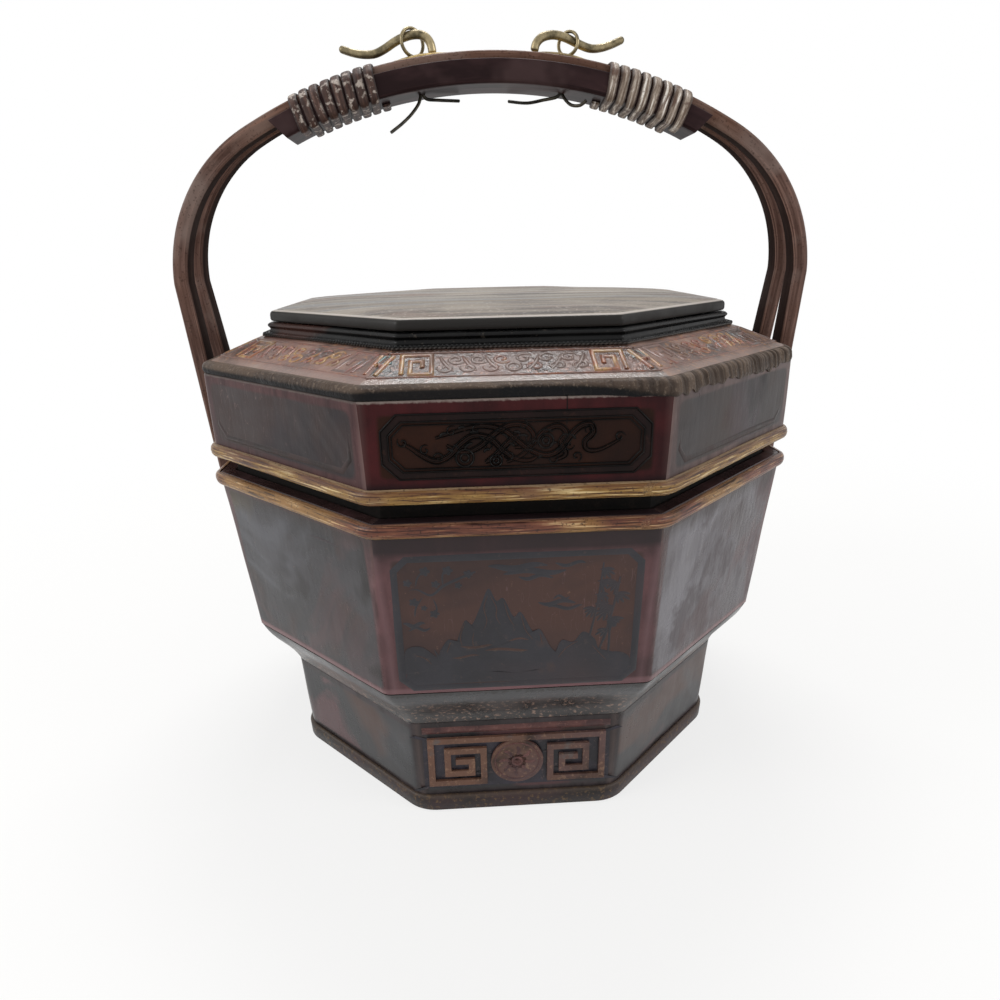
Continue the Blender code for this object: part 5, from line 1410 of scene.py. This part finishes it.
painting = {
    # In millimetres from the middle of the panel. A shape is its outline, the point that it swells from
    # and its height in parts of the rise: the bank, the hills, and low rocks at both sides.
    "rise": 0.00018, "halfWidth": 47.8, "halfHeight": 30.2,
    "shapes": (
        ([(-48, -30), (-46, -22), (-38, -19), (-30, -22), (-22, -17), (-12, -20), (0, -16), (10, -21), (20, -18),
          (31, -21), (40, -17), (47, -20), (48, -30), (0, -31)], (0, -26), 1.0),
        ([(-36, -26), (-33, -14), (-29, -7), (-26, -9), (-22, 2), (-19, 0), (-15, 10), (-12, 17), (-9, 11),
            (-6, 12),
          (-2, 3), (1, 5), (6, -5), (9, -4), (14, -14), (20, -20), (22, -26)], (-10, -12), 1.3),
        ([(12, -27), (10, -21), (15, -17), (18, -10), (23, -11), (27, -6), (32, -10), (34, -15), (41, -18),
          (44, -27)], (25, -19), 1.2),
        ([(-48, -24), (-47, -12), (-41, -10), (-36, -14), (-30, -22)], (-41, -19), 1.1)),
    # ridges down the hills and edges of the rocks
    "ridges": (
        ((-12, 15), (-14, 8), (-13, 1), (-16, -6)), ((-12, 15), (-9, 8), (-9, 3), (-6, -3)),
        ((-6, 11), (-4, 3), (-1, -3)), ((-22, 1), (-24, -6), (-23, -12)), ((-28, -8), (-30, -14)),
        ((1, 4), (3, -4), (7, -10)), ((-18, -2), (-19, -9), (-17, -15)), ((9, -6), (10, -12)),
        ((16, -20), (20, -14), (26, -10)), ((30, -12), (34, -17), (38, -22)),
        ((-44, -14), (-39, -16), (-36, -20))),
    # bars of mist and of cloud: height, start, stop and half width
    "mist": ((-11, -27, -8, 0.9), (-13.5, -18, 8, 1.0), (-16, -30, -14, 0.7), (-8.5, -6, 6, 0.6)),
    "cloud": (
        (26.5, -12, 12, 1.5), (24, -6, 20, 1.5), (21.5, 0, 14, 1.0), (27, 14, 28, 1.0), (9, 8, 24, 1.2),
        (6.6, 12, 27, 1.0), (11.4, 14, 21, 0.7), (1, -47, -38, 1.0), (-1.2, -45, -36, 0.7)),
    "stems": (((29, -12), (34, 27)), ((34, -16), (41, 20)), ((38, -18), (36, 10))),
    "branch": ((-47, 16), (-41, 18), (-35, 15), (-30, 19), (-24, 22), (-17, 25)),
    "twigs": (
        ((-41, 18), (-40, 23), (-37, 27)), ((-35, 15), (-33, 9), (-34, 4)), ((-30, 19), (-30, 24), (-28, 28)),
        ((-37, 16), (-41, 10), (-42, 5))),
    # flowers: place and radius
    "flowers": (
        (-37, 26, 2.4), (-33, 20, 2.0), (-42, 12, 2.3), (-34, 6, 2.2), (-28, 26, 2.2), (-20, 24, 2.0),
        (-44, 21, 2.1),
        (-24, 19, 1.6), (-38, 9, 1.5)),
}


def landscape():
    # a painted landscape: hills in mist, rocks, bamboo, a branch in flower and bars of cloud
    face, _ = panelFace("body", "front")
    rise = painting["rise"]
    edge = np.array((painting["halfWidth"], painting["halfHeight"])) * mm
    dark, pale = [], []
    dice = np.random.default_rng(17)
    angle = roundTurn(40)

    def stroke(points, wide, taper, into=dark, up=rise):
        into.append(raisedLine(face, smoothLine(np.array(points, float), 6) * mm, wide * mm, up, taper=taper))

    def bars(name, sway, wave, into=dark, up=rise):
        t = np.linspace(0, 1, 10)
        for y, start, stop, wide in painting[name]:
            stroke(np.stack((start + (stop - start) * t, y + sway * np.sin(t * wave + y)), -1), wide, 0.9, into,
                up)

    # smooth closed outlines, kept inside the frame
    for points, centre, height in painting["shapes"]:
        loop = smoothLine(np.array(points + points[:1], float), 5)[:-1] * mm
        dark.append(raisedPatch(face, np.array(centre) * mm, np.clip(loop, -edge, edge), rise * height, crown=12))
    for points in painting["ridges"]:
        stroke(points, 0.26, 0.8, pale, rise * 1.9)
    bars("mist", 0.6, 7, pale, rise * 1.9)
    # bamboo: stems with a ring at each joint, and leaves in hanging fans
    for foot, tip in painting["stems"]:
        foot, tip = np.array(foot, float), np.array(tip, float)
        stroke((foot, (foot + tip) / 2 + (0.8, 0), tip), 0.55, 0.3)
        for share in (0.45, 0.62, 0.78, 0.92):
            joint = foot + (tip - foot) * share
            stroke((joint - (1.0, 0.1), joint + (1.0, 0.1)), 0.25, 0.2)
            side = 1 if dice.random() < 0.5 else -1
            for lean in (-0.5, -0.9, -1.3, -0.1):
                size = dice.uniform(4.5, 7.0)
                end = joint + size * np.array((side * math.cos(lean), math.sin(lean)))
                stroke((joint, (joint + end) / 2 + (0, 0.5), end), 0.75, 0.95)
    # a branch from the upper left, with twigs and flowers of five petals
    stroke(painting["branch"], 0.8, 0.6)
    for points in painting["twigs"]:
        stroke(points, 0.45, 0.8)
    petals = 0.62 + 0.38 * np.abs(np.cos(2.5 * angle))
    for x, y, size in painting["flowers"]:
        flower = (np.array((x, y)) + size * beam(angle) * petals[:, None]) * mm
        dark.append(raisedPatch(face, np.array((x, y)) * mm, flower, rise * 1.3, crown=6))
    # bars of cloud in banks, and short grass on the bank
    bars("cloud", 0.8, 8)
    for x in np.linspace(-33, -27, 5):
        stroke(((x, -20), (x - 0.5, -16), (x - 2 + dice.uniform(0, 4), -12)), 0.4, 0.9)
    makePiece("body_panel_painting", dark, "charcoalPainting", "basket", 70)
    makePiece("body_panel_gaps", pale, "paintingGround", "basket", 70)


landscape()
print("panels framed")


# Raised ornament on the shoulder

shoulderArt = {
    # lines' half width and rise; worn is how far from the middle the front's lines are rubbed down
    "line": 0.00095, "rise": 0.00060, "halfHigh": 0.0068, "lift": 0.0003, "corner": 0.0026, "worn": 0.0300,
}


def squareSpiral(centre, size, hand):
    # corners of a line that winds inward at right angles
    turns = np.array(((-1, -1), (-1, 1), (1, 1), (1, -1), (-0.42, -1), (-0.42, 0.36), (0.38, 0.36), (0.38, -0.34)))
    return np.array(centre) + turns * np.array(size) * np.array((hand, 1))


def shoulderLines(side):
    below, above = levels["shoulderLow"], levels["shoulderHigh"]
    face = faceFrame(side, below, above)
    line, rise, high, lift = (shoulderArt[key] for key in ("line", "rise", "halfHigh", "lift"))
    index = sideNames.index(side)
    shells = []
    paints = np.random.default_rng(index + 70)
    # half width of the face at the foot and the top of the slope
    ends = [level[1] if index % 2 == 0 else (level[0] - level[1]) / math.sqrt(2) for level in (below, above)]
    slope = math.hypot(below[0] - above[0], above[2] - below[2])

    def mitre(up):
        return ends[0] + (ends[1] - ends[0]) * (up / slope + 0.5)

    def stroke(path, wide=line, taper=0.0, closed=False, up=rise, paint=None):
        tone = paints.uniform(-0.08, 0.42) if paint is None else paint
        if side == "front" and np.abs(np.asarray(path, float)[:, 0]).max() < shoulderArt["worn"]:
            tone, up = tone - 0.42, up * 0.6  # rubbed down in the middle of the front
        shells.append(raisedLine(face, np.asarray(path, float), wide, up, tone, closed, taper))

    # border lines above and below
    for up in (lift + high + 0.0018, lift - high - 0.0018):
        stroke(((-mitre(up) + 0.0004, up), (mitre(up) - 0.0004, up)), line * 0.5, up=rise * 0.6, paint=-0.1)
    for hand in (-1, 1):
        # the bars at the corner: a stroke beside the mitre, and one that meets its neighbour across it
        low, top = lift - high, lift + high
        foot, tip, middle = (mitre(up) - shoulderArt["corner"] for up in (low, top, lift))
        stroke(((hand * foot, low), (hand * tip, top)), line * 1.1)
        stroke(((hand * middle, lift), (hand * (mitre(lift) - 0.0003), lift)), line)
        # a short blue-green stroke between the bar and the square spiral
        place = hand * (ends[1] + 0.0012)
        stroke(((place, lift + 0.001), (place - hand * 0.0002, top)), line * 1.3, 0.3, up=rise * 0.5, paint=0.62)
        stroke(squareSpiral((hand * 0.0362, lift), (0.0056, high), -hand), line * 1.05)
        # scrolls, mirrored about the middle
        for x in np.arange(0.0042, 0.0280, 0.0086):
            stroke(spiral((hand * x, lift + 0.0030), 0.0035, 1.2, 0.6 * hand, hand), line * 0.75, 0.5)
            stroke(spiral((hand * (x + 0.0040), lift - 0.0030), 0.0033, 1.1, 3.4 * hand, -hand), line * 0.75, 0.5)
            leaf = np.array(((0.001, -0.0055), (0.0040, -0.0005), (0.0062, 0.0058))) + (x, lift)
            leaf = leaf * (hand, 1)
            stroke(smoothLine(leaf, 4), line, 0.85)
    stroke((0, lift - 0.003) + 0.0026 * beam(roundTurn(18)), line * 0.8, closed=True)
    makePiece(f"shoulder_relief_{side}", shells, "shoulderRelief", "lid", 60)


for side in sideNames:
    shoulderLines(side)


# Foot: band over the front fret, and a flower on the other faces

footArt = {
    # band, ground and flower are lowest and highest heights; thin and line are rises of flats and lines;
    # petal is where each boss petal starts, turns and ends, and buds are the small flowers' places
    "band": (0.0437, 0.0477), "bandHalf": 0.0019, "ground": (0.0125, 0.0420), "halfLength": 0.0440,
    "thin": 0.0003, "line": 0.0005, "bossPlace": 0.00015, "bossRadius": 0.0124, "bossRise": 0.0016,
    "rings": ((0.0104, 0.0004), (0.0022, 0.0006)), "petals": 8, "petal": (0.0034, 0.0060, 0.0088),
    "petalWide": 0.0010, "flower": (0.0115, 0.0475), "flowerRadius": 0.0098, "buds": (-0.030, 0.030),
}


def footPieces():
    low, high = levels["footLow"], levels["footHigh"]
    long, thin, line = (footArt[key] for key in ("halfLength", "thin", "line"))
    for side in ("front", "back"):
        face = faceFrame(side, *(levelAt(low, high, height) for height in footArt["band"]))
        band = raisedLine(face, np.array(((-long, 0), (long, 0))), footArt["bandHalf"], 0.0006)
        makePiece(f"foot_band_{side}", [band], "fretBossLacquer", "basket", 60)
        # dark ground between the bars of the fret, and the carved face of its boss
        groundLow, groundHigh = (levelAt(low, high, height) for height in footArt["ground"])
        face = faceFrame(side, groundLow, groundHigh)
        tall = float(np.linalg.norm((groundHigh - groundLow)[[0, 2]])) / 2
        outline = cutOblong(long, tall, 0.0008)
        outline = smoothLine(np.concatenate((outline, outline[:1])), 3)[:-1]
        ground = raisedPatch(face, (0, 0), outline, thin, crown=30)
        makePiece(f"foot_ground_{side}", [ground], "fretRecessLacquer", "basket", 60)
        ways = beam(roundTurn(48))
        centre = np.array((0, footArt["bossPlace"]))
        cap = raisedPatch(face, centre, centre + footArt["bossRadius"] * ways, thin, crown=10)
        cap["grid"] = cap["grid"] + footArt["bossRise"] * face["out"]
        shells = [cap]
        for radius, wide in footArt["rings"]:
            shells.append(raisedLine(face, centre + radius * ways, wide, line, closed=True))
        for turn in np.arange(footArt["petals"]) * 2 * np.pi / footArt["petals"]:
            way = np.array((math.cos(turn), math.sin(turn)))
            inner, middle, outer = (centre + way * radius for radius in footArt["petal"])
            leaf = smoothLine((inner, middle + (0.0009 * way[1], -0.0009 * way[0]), outer), 5)
            shells.append(raisedLine(face, leaf, footArt["petalWide"], line, taper=0.9))
        for shell in shells[1:]:
            shell["grid"] = shell["grid"] + (footArt["bossRise"] + 0.0002) * face["out"]
        makePiece(f"foot_boss_{side}", shells, "fretBossLacquer", "basket", 60)
    angle = roundTurn(60)
    petals = footArt["flowerRadius"] * (0.80 + 0.20 * np.abs(np.cos(angle * 4)))
    outline = petals[:, None] * beam(angle)
    for side in sideNames:
        if side in ("front", "back"):
            continue
        face = faceFrame(side, *(levelAt(low, high, height) for height in footArt["flower"]))
        shells = [raisedPatch(face, (0, 0), outline, thin, crown=5)]
        shells.append(raisedPatch(face, (0, 0), outline * 0.3, 2 * thin, crown=3))
        for x in footArt["buds"]:
            shells.append(raisedPatch(face, (x, 0), outline * 0.5 + (x, 0), thin, crown=5))
        makePiece(f"foot_flower_{side}", shells, "fadedFlowerRed", "basket", 60)


footPieces()
print("ornament laid")


# Floor, light and camera

def seenDirectly(tree):
    # 1 for rays from the camera or through a mirror or glass, 0 for the ones that light the basket
    rays = addNode(tree, "LightPath")
    seen = addNode(tree, "Math", (rays["Is Camera Ray"], rays["Is Glossy Ray"]), operation="MAXIMUM")[0]
    return addNode(tree, "Math", (seen, rays["Is Transmission Ray"]), operation="MAXIMUM")[0]


def layFloor():
    # Matt white paper sweep: camera and mirror rays see it near white, and it keeps the shadow round
    # the basket; further out the paper runs into the white behind.
    look = {"size": 3.0, "tone": "#f2f1ee", "near": 0.74, "reach": (0.32, 0.75)}
    x = np.linspace(-look["size"], look["size"], 9)
    grid = np.stack((*np.meshgrid(x, x, indexing="ij"), np.full((9, 9), -0.0003)), -1)
    mesh = bpy.data.meshes.new("paleFloor")
    mesh.from_pydata(grid.reshape(-1, 3).tolist(), [], gridFaces(9, 9, False, False).tolist())
    floor = bpy.data.objects.new("paleFloor", mesh)
    bpy.context.collection.objects.link(floor)
    paper = bpy.data.materials.new("paleFloorPaper")
    paper.use_nodes = True
    tree = paper.node_tree
    tree.nodes.remove(tree.nodes["Principled BSDF"])
    place = addNode(tree, "TexCoord")["Object"]
    far = addNode(tree, "VectorMath", (place,), operation="LENGTH")["Value"]
    span = {"Value": far, "From Min": look["reach"][0], "From Max": look["reach"][1], "To Min": look["near"]}
    far = addNode(tree, "MapRange", span, interpolation_type="SMOOTHSTEP")[0]
    share = addNode(tree, "Math", (seenDirectly(tree), far), operation="MULTIPLY")[0]
    matt = addNode(tree, "BsdfDiffuse", {"Color": linear(look["tone"])})[0]
    glow = addNode(tree, "Emission")[0]
    mix = addNode(tree, "MixShader", (share, matt, glow))[0]
    tree.links.new(mix, tree.nodes["Material Output"].inputs[0])
    mesh.materials.append(paper)


def lightStudio():
    # a white room, dimmer for the rays that light the basket, and three area lamps
    world = bpy.data.worlds.new("paleStudio")
    bpy.context.scene.world = world
    world.use_nodes = True
    tree = world.node_tree
    level = addNode(tree, "Math", (seenDirectly(tree), 0.45, 0.55), operation="MULTIPLY_ADD")[0]
    background = tree.nodes["Background"]
    background.inputs["Color"].default_value = (1, 1, 1, 1)
    tree.links.new(level, background.inputs["Strength"])
    lamps = (
        {"name": "ceilingSoftbox", "place": (0.02, 0.50, 1.45), "aim": (0, 0, 0.2), "size": (0.60, 0.34),
            "power": 9.0},
        {"name": "leftWindow", "place": (-1.5, -0.5, 0.9), "aim": (0, 0, 0.15), "size": (0.9, 0.9), "power": 12.0},
        {"name": "rightFill", "place": (1.4, -0.7, 0.8), "aim": (0, 0, 0.15), "size": (0.8, 0.8), "power": 7.0},
    )
    for look in lamps:
        data = bpy.data.lights.new(look["name"], "AREA")
        data.shape = "RECTANGLE"
        data.size, data.size_y = look["size"]
        data.energy = look["power"]
        lamp = bpy.data.objects.new(look["name"], data)
        bpy.context.collection.objects.link(lamp)
        lamp.location = look["place"]
        way = np.array(look["aim"]) - np.array(look["place"])
        flat = math.hypot(way[0], way[1])
        lamp.rotation_euler = (math.atan2(flat, -way[2]), 0, math.atan2(way[1], way[0]) - math.pi / 2)


layFloor()
lightStudio()
print("floor and lamps set")

view = {"lens": 25.937936, "place": (-0.019717, -0.39323, 0.255109), "turn": (70.904275, 1.09569, -3.251861)}
cameraData = bpy.data.cameras.new("viewCamera")
cameraData.lens = view["lens"]
cameraData.sensor_width = 36.0
cameraData.clip_start = 0.01
camera = bpy.data.objects.new("viewCamera", cameraData)
bpy.context.collection.objects.link(camera)
camera.location = view["place"]
camera.rotation_euler = [math.radians(angle) for angle in view["turn"]]
bpy.context.scene.camera = camera
bpy.context.scene.view_settings.view_transform = "Standard"
